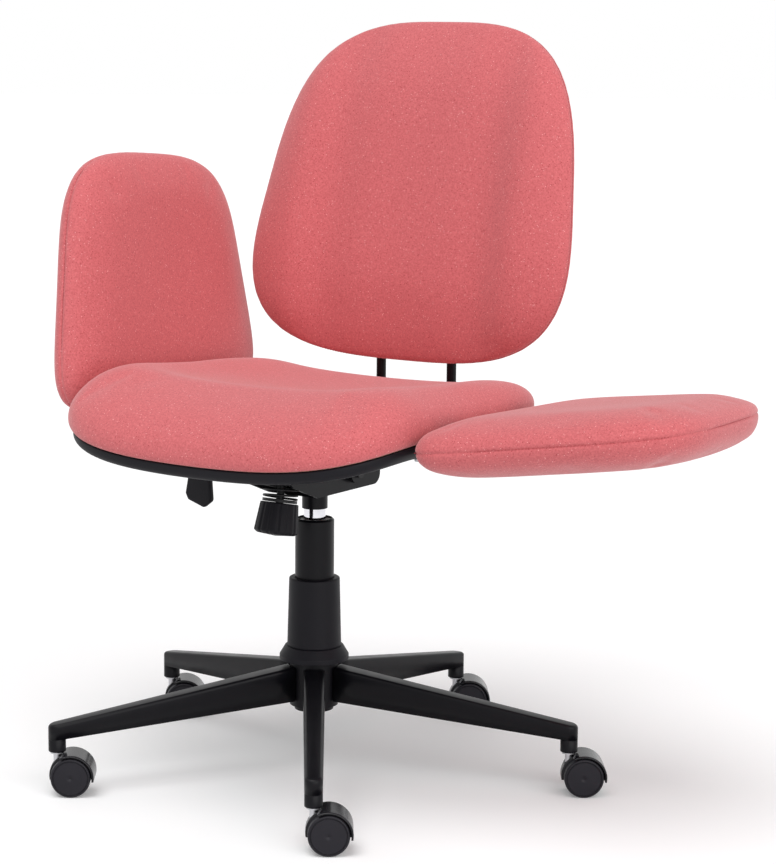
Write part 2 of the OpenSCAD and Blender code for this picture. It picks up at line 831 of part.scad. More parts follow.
module bolt_holes(r) {
    for (x = [-plate_bolt_x, plate_bolt_x], y = [-plate_bolt_front, plate_bolt_rear])
        translate([x, y, plate_low_z - cut])
            cylinder(r = r, h = shell_h + 3 * cut, $fn = 24);
    for (x = [-bracket_bolt_x, bracket_bolt_x], y = [bracket_front, bracket_rear])
        translate([x, (y + (bracket_front + bracket_rear) / 2) / 2, plate_low_z - cut])
            cylinder(r = r, h = shell_h + 3 * cut, $fn = 24);
    for (x = [-arm_bolt_out, -arm_bolt_in, arm_bolt_in, arm_bolt_out], y = [hinge_front_y, hinge_rear_y])
        translate([x, y, plate_low_z - cut])
            cylinder(r = r, h = shell_h + 3 * cut, $fn = 24);
}

// Screw with its head under z = 0 and its shank up to length
module screw(length) {
    rotate_extrude($fn = 24)
        polygon([
            [0, -bolt_head_h], [bolt_head_r, -bolt_head_h], [bolt_head_r, -run_gap],
            [bolt_r, -run_gap], [bolt_r, length], [0, length]]);
}

module seat_shell() {
    edge = shell_inset;
    rim_in = edge + shell_rim_t;
    floor_z = shell_low_z + shell_wall;
    corner = 2 * shell_wall;
    color("#1e1e24")
    difference() {
        closed_loft([0, 0, shell_low_z], concat(
            flat_rings(edge, shell_low_z, false),
            [seat_ring(1, edge + corner, shell_low_z),
                seat_ring(1, edge + corner / 4, shell_low_z + corner / 4),
                seat_ring(1, edge, shell_low_z + corner),
                seat_ring(1, edge, rim_z),
                seat_ring(1, rim_in, rim_z),
                seat_ring(1, rim_in, floor_z)],
            flat_rings(rim_in, floor_z, true)), [0, 0, floor_z]);
        bolt_holes(bolt_r + seat_gap);
    }
}

module seat_board() {
    inset = shell_inset + shell_rim_t + board_gap;
    low = shell_low_z + shell_wall + seat_gap;
    color("#b98f5a")
    difference() {
        closed_loft([0, 0, low], concat(
            flat_rings(inset, low, false), [seat_ring(1, inset, low), seat_ring(1, inset, rim_z)],
            flat_rings(inset, rim_z, true)), [0, 0, rim_z]);
        bolt_holes(bolt_r + run_gap);
    }
}

module seat_cushion() {
    low = rim_z + seat_gap;
    widest = rim_z + seat_edge_h;
    color("#d4666d")
        closed_loft([0, 0, low], concat(
            flat_rings(shell_inset, low, false), [seat_ring(1, shell_inset, low), seat_ring(1, 0, widest)],
            [for (s = crown_steps(crown_power, seat_levels))
                seat_ring(s[0], 0, widest + seat_crown * s[1] - seat_dish * (1 - s[0] * s[0]),
                    seat_wedge * s[1])],
            [seat_ring(top_share, 0, widest + seat_crown - seat_dish * (1 - top_share * top_share),
                seat_wedge)]),
            [0, 0, widest + seat_crown - seat_dish]);
}

module seat_plate() {
    half = seat_plate_w / 2;
    ear_x = housing_half + ear_gap;
    color("#222226")
    difference() {
        union() {
            translate([0, 0, plate_low_z])
                linear_extrude(seat_plate_t)
                    hull()
                        for (x = [-1, 1], y = [-plate_front + sheet_fillet, plate_rear - sheet_fillet])
                            translate([x * (half - sheet_fillet), y])
                                circle(r = sheet_fillet, $fn = 32);
            for (side = [-1, 1])
                translate([side > 0 ? ear_x : -ear_x - ear_t, 0, 0])
                    rotate([90, 0, 90])
                        linear_extrude(ear_t) {
                            translate([axle_y, axle_z])
                                circle(r = ear_half_w);
                            translate([axle_y - ear_half_w, axle_z])
                                square([2 * ear_half_w, plate_low_z + seat_plate_t / 2 - axle_z]);
                        }
        }
        translate([-half, axle_y, axle_z])
            rotate([0, 90, 0])
                cylinder(r = axle_d / 2 + run_gap, h = seat_plate_w);
        bolt_holes(bolt_r + seat_gap);
    }
}

module tilt_axle() {
    head_x = housing_half + ear_gap + ear_t + seat_gap;
    color("#8d8d92")
    translate([0, axle_y, axle_z])
        rotate([0, 90, 0]) {
            translate([0, 0, -head_x])
                cylinder(d = axle_d, h = 2 * head_x);
            for (side = [0, 180])
                rotate([side, 0, 0])
                    translate([0, 0, head_x])
                        cylinder(r = bush_r, h = ear_t);
        }
}

module tension_bolt() {
    color("#9b9ba0")
    intersection() {
        on_bolt() {
            translate([0, 0, knob_travel - bolt_foot])
                cylinder(r = bolt_shank_r, h = bolt_foot - knob_travel + knob_top_z);
            translate([0, 0, (plate_low_z - knob_top_z) / cos(bolt_lean) - 2 * ear_t])
                cylinder(r = bush_r, h = 3 * ear_t);
        }
        translate([-cut, -2 * knob_y, 0])
            cube([2 * cut, 2 * knob_y, plate_low_z - run_gap]);
    }
}

module plate_bolts() {
    bracket_low_z = shell_low_z - seat_gap - bracket_t;
    color("#a0a0a4") {
        for (x = [-plate_bolt_x, plate_bolt_x], y = [-plate_bolt_front, plate_bolt_rear])
            translate([x, y, plate_low_z])
                screw(rim_z - seat_gap - plate_low_z);
        for (x = [-bracket_bolt_x, bracket_bolt_x], y = [bracket_front, bracket_rear])
            translate([x, (y + (bracket_front + bracket_rear) / 2) / 2, bracket_low_z])
                screw(rim_z - seat_gap - bracket_low_z);
        for (x = [-arm_bolt_out, -arm_bolt_in, arm_bolt_in, arm_bolt_out])
            for (y = [hinge_front_y, hinge_rear_y])
                translate([x, y, arm_top_z(abs(x)) - arm_t - arm_bolt_drop])
                    screw(rim_z - shell_low_z + arm_t);
    }
}

module back_bracket() {
    color("#1f1f22")
    difference() {
        translate([-bracket_half_w, bracket_front, shell_low_z - seat_gap - bracket_t])
            cube([2 * bracket_half_w, bracket_rear - bracket_front, bracket_t]);
        bolt_holes(bolt_r + seat_gap);
    }
}

// Bar that runs back under the seat, turns up behind it and leans along the backrest
module back_bar(side) {
    turn_y = bar_y - bar_bend_r;
    color("#141417")
    translate([side * bar_spacing / 2, 0, 0]) {
        translate([0, bar_front_y, bar_run_z])
            rotate([-90, 0, 0])
                cylinder(d = bar_d, h = turn_y - bar_front_y);
        translate([0, turn_y, bar_run_z + bar_bend_r])
            rotate([90, 0, 90])
                rotate_extrude(angle = 90, start = -90)
                    translate([bar_bend_r, 0])
                        circle(d = bar_d);
        translate([0, bar_y, bar_run_z + bar_bend_r])
            cylinder(d = bar_d, h = back_bar_z - bar_run_z - bar_bend_r);
        translate([0, bar_y, back_bar_z])
            sphere(d = bar_d + seat_gap);
        translate([0, bar_y, back_bar_z])
            rotate([-back_recline, 0, 0])
                cylinder(d = bar_d, h = bar_top);
    }
}

// Backrest frame: local X across, Y up the backrest, Z towards the sitter
module on_back() {
    translate([0, back_y, back_z])
        rotate([90 - back_recline, 0, 0])
            children();
}

// Ring of the backrest's outline at share f and depth w, wrapped forwards at its sides
function back_ring(f, inset, w) =
    [for (j = [0 : seat_sides - 1])
        let (
            u = unit_point(360 * j / seat_sides, back_power_up, back_power_down),
            x = f * (back_half_w * (1 - back_taper * u[1]) - inset) * u[0],
            y = f * ((u[1] > 0 ? back_up : back_down) - inset) * u[1])
        [x, y, w + back_wrap * pow(x / back_half_w, 2)]];

module back_cushion() {
    color("#d4666d")
    on_back()
        closed_loft([0, 0, seat_gap], concat(
            [for (f = [back_board_share / 2, back_board_share, 1]) back_ring(f, 0, seat_gap)],
            [for (s = crown_steps(back_crown_power, back_levels))
                back_ring(s[0], 0, seat_gap + back_front_t * s[1])],
            [back_ring(top_share, 0, seat_gap + back_front_t)]), [0, 0, seat_gap + back_front_t]);
}

// Rear shell: its hollow holds the board and the bars
module back_cover() {
    deep = back_rear_t - back_wall;
    steps = crown_steps(back_crown_power, cover_levels);
    color("#cf5f67")
    difference() {
        on_back()
            closed_loft([0, 0, -back_rear_t], concat(
                [back_ring(top_share, 0, -back_rear_t)],
                [for (i = [len(steps) - 1 : -1 : 0]) back_ring(steps[i][0], 0, -back_rear_t * steps[i][1])],
                [back_ring(1, 0, 0), back_ring(1, back_wall, 0)],
                [for (s = steps) back_ring(s[0], back_wall, -deep * s[1])],
                [back_ring(top_share, back_wall, -deep)]), [0, 0, -deep]);
        for (side = [-1, 1])
            translate([side * bar_spacing / 2, bar_y, back_z - back_up - back_down])
                cylinder(d = bar_d + 2 * seat_gap, h = back_bar_z - back_z + back_up + back_down);
    }
}

module back_board() {
    color("#b98f5a")
    on_back()
        closed_loft([0, 0, -board_t], [
            back_ring(back_board_share / 2, 0, -board_t), back_ring(back_board_share, 0, -board_t),
            back_ring(back_board_share, 0, -seat_gap), back_ring(back_board_share / 2, 0, -seat_gap)],
            [0, 0, -seat_gap]);
}

// Straps that hold the bars to the back board
module bar_saddles() {
    color("#8d8d92")
    for (side = [-1, 1], share = saddle_shares)
        translate([side * bar_spacing / 2, bar_y, back_bar_z])
            rotate([-back_recline, 0, 0])
                translate([0, 0, share * bar_top - saddle_h / 2])
                    difference() {
                        union() {
                            cylinder(d = bar_d + 2 * (seat_gap + saddle_t), h = saddle_h);
                            translate([-saddle_w / 2, -bar_d / 2 - run_gap, 0])
                                cube([saddle_w, saddle_t, saddle_h]);
                        }
                        translate([0, 0, -cut])
                            cylinder(d = bar_d + 2 * seat_gap, h = saddle_h + 2 * cut);
                        translate([-saddle_w, -bar_d - cut, -cut])
                            cube([2 * saddle_w, bar_d / 2 + cut - run_gap, saddle_h + 2 * cut]);
                    }
}

// Points of the spring's helix, with a straight length of wire at both ends
function spring_path() =
    let (
        r = spring_d / 2,
        climb = spring_h - 2 * end_wires * spring_wire,
        n = spring_turns * ring_count)
    concat(
        [[r, 0, 0], [r, 0, spring_wire]],
        [for (i = [0 : n])
            [r * cos(360 * i / ring_count), r * sin(360 * i / ring_count),
                end_wires * spring_wire + climb * i / n]],
        [[r, 0, spring_h - spring_wire], [r, 0, spring_h]]);

// Least gap between the wires of two turns
function least_gap(path) = min([
    for (i = [0 : len(path) - 1])
        for (j = [i + ring_count / 2 : len(path) - 1]) norm(path[i] - path[j])]) - spring_wire;

module tension_spring() {
    color("#101012")
    on_bolt()
        translate([0, 0, seat_gap + washer_t + seat_gap])
            swept_tube(spring_path(), spring_wire / 2, 6);
    echo(least_spring_gap = least_gap(spring_path()));
}

module spring_washer() {
    color("#8d8d92")
    on_bolt()
        translate([0, 0, seat_gap])
            difference() {
                cylinder(r = washer_r, h = washer_t);
                translate([0, 0, -cut])
                    cylinder(r = bolt_shank_r + seat_gap, h = washer_t + 2 * cut);
            }
}

// Fluted knob with a domed foot and a blind bore for the bolt
module tension_knob() {
    flute_r = flute_share * knob_d;
    dome = dome_share * knob_d;
    r = knob_d / 2;
    color("#131315")
    on_bolt()
        difference() {
            rotate_extrude($fn = 72)
                polygon([
                    [0, 0], [r - dome / 2, 0], [r - dome / 4, -dome / 4], [r, -knob_h + dome],
                    [r - dome / 2, -knob_h + dome / 2], [r / 2, -knob_h + dome / 8], [0, -knob_h]]);
            for (i = [0 : knob_flutes - 1])
                rotate([0, 0, 360 * i / knob_flutes])
                    translate([r + flute_r / 3, 0, -knob_h - cut])
                        cylinder(r = flute_r, h = knob_h + 2 * cut, $fn = 24);
            translate([0, 0, -bolt_foot - seat_gap])
                cylinder(r = bolt_shank_r + run_gap, h = knob_h + cut);
        }
}

// Height of a hinge arm's top face where it lies under the shell
function arm_top_z(x) = shell_low_z - seat_gap + side_rise * pow(x / seat_half_w, 2);

// Side outline of a hinge arm in X and Z: a strap under the shell that turns up to the axis
module arm_side() {
    turn_x = hinge_x - wing_root;
    xs = [arm_in_x, (arm_in_x + arm_bolt_out) / 2, arm_bolt_out, turn_x];
    polygon(concat(
        [for (x = xs) [x, arm_top_z(x) - arm_t]],
        [[hinge_x + arm_t / 2, arm_top_z(turn_x) - arm_t], [hinge_x + arm_t / 2, hinge_z],
            [hinge_x - arm_t / 2, hinge_z], [hinge_x - arm_t / 2, arm_top_z(turn_x)]],
        [for (i = [len(xs) - 1 : -1 : 0]) [xs[i], arm_top_z(xs[i])]]));
}

// Arms with forked ends and the pins that the leaves turn on
module hinge_arms(side) {
    slot = leaf_w + 2 * eye_gap;
    color("#3a3a3f")
    mirror([side > 0 ? 0 : 1, 0, 0])
        for (y = [hinge_front_y, hinge_rear_y])
            translate([0, y + arm_w / 2, 0])
                rotate([90, 0, 0]) {
                    difference() {
                        linear_extrude(arm_w) {
                            arm_side();
                            translate([hinge_x, hinge_z])
                                circle(d = eye_d);
                        }
                        translate([hinge_x, hinge_z, arm_w / 2 - slot / 2])
                            cylinder(d = eye_d + 4 * eye_gap, h = slot);
                        for (x = [arm_bolt_in, arm_bolt_out])
                            translate([x, 0, arm_w / 2])
                                rotate([-90, 0, 0])
                                    cylinder(r = bolt_r + run_gap, h = hinge_z, $fn = 24);
                    }
                    translate([hinge_x, hinge_z, 0])
                        cylinder(d = pin_d, h = arm_w);
                }
}

// Frame of a wing: origin on the hinge axis, X along the wing, Z out of its upper face
module on_wing(side) {
    mirror([side > 0 ? 0 : 1, 0, 0])
        translate([hinge_x, 0, hinge_z])
            rotate([0, side > 0 ? -wing_slope : wing_lean - 90, 0])
                children();
}

// Ring of a wing's outline at share f and height q
function wing_ring(f, inset, q) =
    let (mid_p = (wing_reach - wing_root) / 2, half_p = (wing_reach + wing_root) / 2)
    [for (j = [0 : wing_sides - 1])
        let (
            t = 360 * j / wing_sides,
            n = cos(t) >= 0 ? wing_tip_power : wing_root_power,
            b = spow(cos(t), 2 / n),
            a = spow(sin(t), 2 / n))
        [mid_p + f * (half_p - inset) * b,
            wing_y + f * wing_drift * b + f * (wing_half_l * (1 - wing_taper_share * b) - inset) * a, q]];

// Pad with a pocket for its board, slots for the leaves and notches for the arms
module wing_pad(side) {
    steps = crown_steps(wing_edge_power, wing_levels);
    mid = (wing_reach - wing_root) / 2;
    half_t = wing_t / 2;
    low_board = wing_mid_q - board_t / 2 - seat_gap;
    high_board = wing_mid_q + board_t / 2 + seat_gap;
    notch = eye_d / 2 + 2 * eye_gap;
    color("#d4666d")
    on_wing(side)
    difference() {
        closed_loft([mid, wing_y, wing_mid_q - half_t], concat(
            [for (i = [len(steps) - 1 : -1 : 0])
                wing_ring(steps[i][0], 0, wing_mid_q - half_t * steps[i][1])],
            [wing_ring(1, 0, wing_mid_q)],
            [for (s = steps) wing_ring(s[0], 0, wing_mid_q + half_t * s[1])]),
            [mid, wing_y, wing_mid_q + half_t]);
        closed_loft([mid, wing_y, low_board], [
            wing_ring(board_share, -seat_gap, low_board), wing_ring(board_share, -seat_gap, high_board)],
            [mid, wing_y, high_board]);
        for (y = [hinge_front_y, hinge_rear_y])
            translate([0, y, 0]) {
                translate([-2 * wing_root, -arm_w / 2 - 2 * eye_gap, -notch_depth])
                    cube([2 * wing_root + notch, arm_w + 4 * eye_gap, notch_depth + notch]);
                rotate([90, 0, 0])
                    translate([0, 0, -leaf_w / 2 - 2 * eye_gap])
                        linear_extrude(leaf_w + 4 * eye_gap)
                            offset(delta = 2 * eye_gap)
                                leaf_side();
            }
    }
}

module wing_board(side) {
    mid = (wing_reach - wing_root) / 2;
    low = wing_mid_q - board_t / 2;
    high = wing_mid_q + board_t / 2;
    color("#b98f5a")
    on_wing(side)
        closed_loft([mid, wing_y, low], [
            wing_ring(board_share, 0, low), wing_ring(board_share, 0, high)], [mid, wing_y, high]);
}

// Side outline of a hinge leaf in the wing's frame: a wedge from the eye to a strap on the board
module leaf_side() {
    foot_q = wing_mid_q + board_t / 2 + seat_gap;
    board_p = (wing_reach - wing_root) / 2 - board_share * (wing_reach + wing_root) / 2;
    reach = board_p + leaf_l;
    polygon([
        [0, -eye_d / 2], [board_p, foot_q], [reach, foot_q], [reach, foot_q + leaf_t],
        [board_p, foot_q + leaf_t], [0, eye_d / 3]]);
}

module hinge_leaves(side) {
    color("#3a3a3f")
    on_wing(side)
        for (y = [hinge_front_y, hinge_rear_y])
            translate([0, y + leaf_w / 2, 0])
                rotate([90, 0, 0])
                    difference() {
                        linear_extrude(leaf_w) {
                            leaf_side();
                            circle(d = eye_d);
                        }
                        translate([0, 0, -cut])
                            cylinder(d = pin_d + 2 * run_gap, h = leaf_w + 2 * cut);
                    }
}

base_hub();
hub_collar();
base_leg(1);  // base_leg_1
base_leg(2);  // base_leg_2
base_leg(3);  // base_leg_3
base_leg(4);  // base_leg_4
base_leg(5);  // base_leg_5
caster_stems();
column_tube();
column_cover();
guide_bush();
thrust_bearing();
caster_hood(1);  // caster_hood_1
caster_hood(2);  // caster_hood_2
caster_hood(3);  // caster_hood_3
caster_hood(4);  // caster_hood_4
caster_hood(5);  // caster_hood_5
wheel_axle(1);  // wheel_axle_1
wheel_axle(2);  // wheel_axle_2
wheel_axle(3);  // wheel_axle_3
wheel_axle(4);  // wheel_axle_4
wheel_axle(5);  // wheel_axle_5
caster_wheels(1);  // caster_wheels_1
caster_wheels(2);  // caster_wheels_2
caster_wheels(3);  // caster_wheels_3
caster_wheels(4);  // caster_wheels_4
caster_wheels(5);  // caster_wheels_5
piston_rod();
gas_cylinder();
tilt_housing();
axle_bushes();
stop_pads();
release_button();
lever_rod();
lever_grip();
seat_plate();
tilt_axle();
tension_bolt();
plate_bolts();
seat_shell();
seat_board();
seat_cushion();
back_bracket();
back_bar(1);  // back_bar_left
back_bar(-1);  // back_bar_right
bar_saddles();
back_board();
back_cover();
back_cushion();
tension_spring();
spring_washer();
tension_knob();
hinge_arms(1);  // hinge_arms_left
hinge_arms(-1);  // hinge_arms_right
hinge_leaves(1);  // hinge_leaves_left
hinge_leaves(-1);  // hinge_leaves_right
wing_board(1);  // wing_board_left
wing_board(-1);  // wing_board_right
wing_pad(1);  // wing_pad_left
wing_pad(-1);  // wing_pad_right
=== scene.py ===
# Swivel chair with a five legged base, a gas column and two fold-down side wings
import json
import math
import bmesh
import bpy
import numpy as np
from mathutils import Matrix, Vector


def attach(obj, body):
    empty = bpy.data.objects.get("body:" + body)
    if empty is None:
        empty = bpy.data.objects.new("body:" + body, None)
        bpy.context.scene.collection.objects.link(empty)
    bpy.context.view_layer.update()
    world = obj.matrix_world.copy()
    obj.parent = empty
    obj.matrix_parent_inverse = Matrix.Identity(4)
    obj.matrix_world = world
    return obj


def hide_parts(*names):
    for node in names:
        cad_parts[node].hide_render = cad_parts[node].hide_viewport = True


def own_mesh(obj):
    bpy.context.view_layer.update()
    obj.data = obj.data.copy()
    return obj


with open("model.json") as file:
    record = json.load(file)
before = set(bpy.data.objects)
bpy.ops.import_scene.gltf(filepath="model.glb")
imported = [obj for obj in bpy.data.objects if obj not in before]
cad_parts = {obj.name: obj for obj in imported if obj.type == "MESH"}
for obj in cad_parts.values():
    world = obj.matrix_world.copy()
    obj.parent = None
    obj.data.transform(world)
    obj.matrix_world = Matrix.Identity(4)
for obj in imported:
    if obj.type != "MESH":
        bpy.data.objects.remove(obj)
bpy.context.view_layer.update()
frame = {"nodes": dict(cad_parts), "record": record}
print("frame loaded:", len(frame["nodes"]), "nodes")

# Shared shape helpers: every surface is worked out as whole numpy arrays


def signedPower(a, e):
    # sign of a, times its size to the power e
    return np.sign(a) * np.abs(a) ** e


def bump(a, centre, width):
    # bell curve exp(-((a - centre) / width)^2)
    return np.exp(-((a - centre) / width) ** 2)


def smoothStep(a, low, high):
    # 0 below low, 1 above high, 3t^2 - 2t^3 between them
    t = np.clip((a - low) / (high - low), 0, 1)
    return t * t * (3 - 2 * t)


def moved(points, matrix):
    # every point taken through a 4 by 4 matrix
    m = np.array(matrix)
    return points @ m[:3, :3].T + m[:3, 3]


def gridFaces(rows, columns, wrap):
    # quads between neighbouring rows and columns of a grid; wrap joins the last column to the first
    i = np.arange(rows - 1)[:, None]
    j = np.arange(columns if wrap else columns - 1)[None, :]
    a = i * columns + j
    b = i * columns + (j + 1) % columns
    return np.stack([a, b, b + columns, a + columns], -1).reshape(-1, 4)


def gridPart(points, wrap=True):
    # (points, faces) of a grid of shape rows, columns, 3
    return points.reshape(-1, 3), gridFaces(points.shape[0], points.shape[1], wrap)


def capPart(ring, tip):
    # fan of triangles from a ring of points to its tip
    n = len(ring)
    j = np.arange(n)
    return np.concatenate([ring, [tip]]), np.stack([j, (j + 1) % n, np.full(n, n)], 1)


def buildMesh(name, parts, attributes=None):
    # joins parts into one mesh, merges doubled points and turns every face outwards
    points = [np.asarray(p, float).reshape(-1, 3) for p, f in parts]
    starts = np.cumsum([0] + [len(p) for p in points])
    faces = [row for (p, f), start in zip(parts, starts) for row in (np.asarray(f) + start).tolist()]
    mesh = bpy.data.meshes.new(name)
    mesh.from_pydata(np.concatenate(points), [], faces)
    for key, values in (attributes or {}).items():
        layer = mesh.attributes.new(key, "FLOAT", "POINT")
        layer.data.foreach_set("value", np.asarray(values, np.float32).ravel())
    shape = bmesh.new()
    shape.from_mesh(mesh)
    bmesh.ops.remove_doubles(shape, verts=shape.verts, dist=2e-6)
    bmesh.ops.dissolve_degenerate(shape, edges=shape.edges, dist=1e-7)
    bmesh.ops.delete(shape, geom=[v for v in shape.verts if not v.link_faces], context="VERTS")
    bmesh.ops.recalc_face_normals(shape, faces=shape.faces)
    shape.to_mesh(mesh)
    shape.free()
    mesh.shade_smooth()
    return mesh


def addPiece(name, mesh, body, material, stands=()):
    # puts a finished mesh into the scene on its body, in its finish, in place of the named CAD nodes
    piece = bpy.data.objects.new(name, mesh)
    bpy.context.scene.collection.objects.link(piece)
    mesh.materials.clear()
    mesh.materials.append(material)
    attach(piece, body)
    if stands:
        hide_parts(*stands)
    return piece


def roundedOutline(corners, steps=5):
    # polygon of (x, y, radius) corners, each replaced by an arc that touches its two sides
    given = np.array(corners, float)
    out = []
    for k in range(len(given)):
        here, radius = given[k, :2], given[k, 2]
        toBack = given[k - 1, :2] - here
        toNext = given[(k + 1) % len(given), :2] - here
        toBack = toBack / np.linalg.norm(toBack)
        toNext = toNext / np.linalg.norm(toNext)
        if radius <= 0:
            out.append(here[None])
            continue
        half = math.acos(max(-1, min(1, float(toBack @ toNext)))) / 2
        centre = here + (toBack + toNext) / np.linalg.norm(toBack + toNext) * radius / math.sin(half)
        first = here + toBack * radius / math.tan(half) - centre
        last = here + toNext * radius / math.tan(half) - centre
        sweep = math.pi - 2 * half
        t = np.linspace(0, 1, steps + 1)[:, None]
        arc = (np.sin((1 - t) * sweep) * first + np.sin(t * sweep) * last) / math.sin(sweep)
        support = min(radius, 0.0006)
        ends = centre + first + toBack * support, centre + last + toNext * support
        out.append(np.concatenate([[ends[0]], centre + arc, [ends[1]]]))
    return np.concatenate(out)


def revolved(outline, segments=96, wave=None):
    # each (radius, height) of a closed outline carried round the Z axis;
    # wave changes the radius with the angle
    angle = np.linspace(0, 2 * math.pi, segments, endpoint=False)
    radius = np.repeat(outline[:, 0][:, None], segments, 1)
    if wave is not None:
        radius = wave(radius, angle[None, :], outline[:, 1][:, None])
    height = np.repeat(outline[:, 1][:, None], segments, 1)
    points = np.stack([radius * np.cos(angle), radius * np.sin(angle), height], -1)
    return [gridPart(np.concatenate([points, points[:1]]))]


def extruded(outline, low, high, edge=0.0008, steps=3):
    # an outline in X and Y carried up from low to high, both rims rounded by a quarter circle
    forward = np.roll(outline, -1, 0) - np.roll(outline, 1, 0)
    normal = np.stack([forward[:, 1], -forward[:, 0]], 1)
    normal /= np.linalg.norm(normal, axis=1)[:, None] + 1e-12
    x, y = outline[:, 0], outline[:, 1]
    normal *= np.sign(np.sum(x * np.roll(y, -1) - y * np.roll(x, -1)))
    t = np.linspace(0, math.pi / 2, steps + 1)
    inset = np.concatenate([edge * (1 - np.sin(t)), edge * (1 - np.cos(t))])
    level = np.concatenate([low + edge * (1 - np.cos(t)), high - edge * (1 - np.sin(t))])
    rings = outline[None] - normal[None] * inset[:, None, None]
    heights = np.broadcast_to(level[:, None, None], rings.shape[:2] + (1,))
    points = np.concatenate([rings, heights], -1)
    middle = outline.mean(0)
    return [gridPart(points), capPart(points[0], [*middle, low]), capPart(points[-1], [*middle, high])]


# Finishes


def startMaterial(name, color, roughness):
    # a Principled material with a plain colour, and its node tree ready for more
    material = bpy.data.materials.new(name)
    material.use_nodes = True
    shader = material.node_tree.nodes["Principled BSDF"]
    shader.inputs["Base Color"].default_value = (*color, 1)
    shader.inputs["Roughness"].default_value = roughness
    return material, material.node_tree, shader


def addNode(tree, kind, values=None, **settings):
    # one node with its settings, and its input values by name or number
    node = tree.nodes.new(kind)
    for key, value in settings.items():
        setattr(node, key, value)
    for key, value in (values or {}).items():
        node.inputs[key].default_value = value
    return node


def objectNoise(tree, scale, detail=2.0, roughness=0.5):
    # noise on Object coordinates
    place = addNode(tree, "ShaderNodeTexCoord")
    noise = addNode(tree, "ShaderNodeTexNoise", {"Scale": scale, "Detail": detail, "Roughness": roughness})
    tree.links.new(place.outputs["Object"], noise.inputs["Vector"])
    return noise.outputs[0]


def remap(tree, source, low, high, outLow, outHigh):
    # straight change of range, clamped
    node = addNode(tree, "ShaderNodeMapRange", {1: low, 2: high, 3: outLow, 4: outHigh})
    tree.links.new(source, node.inputs[0])
    return node.outputs[0]


def mathNode(tree, operation, first, second):
    # one sum of two sockets or numbers
    node = addNode(tree, "ShaderNodeMath", operation=operation)
    for socket, value in zip(node.inputs, (first, second)):
        if isinstance(value, (int, float)):
            socket.default_value = value
        else:
            tree.links.new(value, socket)
    return node.outputs[0]


def blendColor(tree, share, first, second):
    # mix of two colours; each is a colour or a socket
    node = addNode(tree, "ShaderNodeMix", data_type="RGBA")
    tree.links.new(share, node.inputs[0])
    for socket, color in ((node.inputs[6], first), (node.inputs[7], second)):
        if isinstance(color, tuple):
            socket.default_value = (*color, 1)
        else:
            tree.links.new(color, socket)
    return node.outputs[2]


def addBump(tree, shader, height, strength, distance):
    # bump from a height socket into the shader's normal
    node = addNode(tree, "ShaderNodeBump", {"Strength": strength, "Distance": distance})
    tree.links.new(height, node.inputs["Height"])
    tree.links.new(node.outputs["Normal"], shader.inputs["Normal"])


fabricLook = {
    "light": (0.655, 0.161, 0.170), "dark": (0.525, 0.110, 0.119),
    "paleFleck": (0.82, 0.40, 0.41), "darkFleck": (0.36, 0.035, 0.045), "paleFrom": 0.972, "darkFrom": 0.950,
    "yarnScale": 440.0, "fleckScale": 740.0, "knotScale": 900.0, "knotDepth": 0.0005,
    "roughness": 0.92, "sheen": 0.34, "sheenRoughness": 0.45, "sheenTint": (1.0, 0.96, 0.96),
}


def makeFabric(name, look):
    # melange cloth: two corals mixed by noise, pale and dark red flecks from random cells,
    # and a fine knotted bump
    material, tree, shader = startMaterial(name, look["light"], look["roughness"])
    yarn = objectNoise(tree, look["yarnScale"], 3.0, 0.65)
    broad = objectNoise(tree, 9.0)
    mixed = blendColor(tree, remap(tree, yarn, 0.36, 0.64, 0, 1), look["dark"], look["light"])
    toned = blendColor(tree, remap(tree, broad, 0.3, 0.7, 0, 0.10), mixed, look["dark"])
    place = addNode(tree, "ShaderNodeTexCoord").outputs["Object"]
    cells = addNode(tree, "ShaderNodeTexVoronoi", {"Scale": look["fleckScale"]})
    tree.links.new(place, cells.inputs["Vector"])
    split = addNode(tree, "ShaderNodeSeparateColor")
    tree.links.new(cells.outputs["Color"], split.inputs[0])
    near = remap(tree, cells.outputs["Distance"], 0.30, 0.50, 1, 0)
    flecks = (0, look["paleFrom"], look["paleFleck"]), (1, look["darkFrom"], look["darkFleck"])
    for channel, limit, color in flecks:
        chosen = mathNode(tree, "GREATER_THAN", split.outputs[channel], limit)
        toned = blendColor(tree, mathNode(tree, "MULTIPLY", chosen, near), toned, color)
    tree.links.new(toned, shader.inputs["Base Color"])
    knots = addNode(tree, "ShaderNodeTexVoronoi", {"Scale": look["knotScale"]}, feature="SMOOTH_F1")
    tree.links.new(place, knots.inputs["Vector"])
    addBump(tree, shader, mathNode(tree, "ADD", knots.outputs["Distance"], yarn), 0.35, look["knotDepth"])
    shader.inputs["Sheen Weight"].default_value = look["sheen"]
    shader.inputs["Sheen Roughness"].default_value = look["sheenRoughness"]
    shader.inputs["Sheen Tint"].default_value = (*look["sheenTint"], 1)
    shader.inputs["Specular IOR Level"].default_value = 0.25
    return material


def makeHard(name, color, roughness, spread, grain, depth, metallic=0.0, specular=0.5, coat=0.0):
    # paint, plastic or metal: roughness and tone wander a little with noise, over a fine bump
    material, tree, shader = startMaterial(name, color, roughness)
    cloud = objectNoise(tree, 38.0, 4.0, 0.6)
    wander = remap(tree, cloud, 0.25, 0.75, roughness - spread, roughness + spread)
    tree.links.new(wander, shader.inputs["Roughness"])
    lighter = tuple(min(1.0, c * 1.22) for c in color)
    toned = blendColor(tree, remap(tree, cloud, 0.3, 0.7, 0, 1), color, lighter)
    tree.links.new(toned, shader.inputs["Base Color"])
    addBump(tree, shader, objectNoise(tree, grain, 2.0, 0.6), 0.25, depth)
    shader.inputs["Metallic"].default_value = metallic
    shader.inputs["Specular IOR Level"].default_value = specular
    shader.inputs["Coat Weight"].default_value = coat
    return material


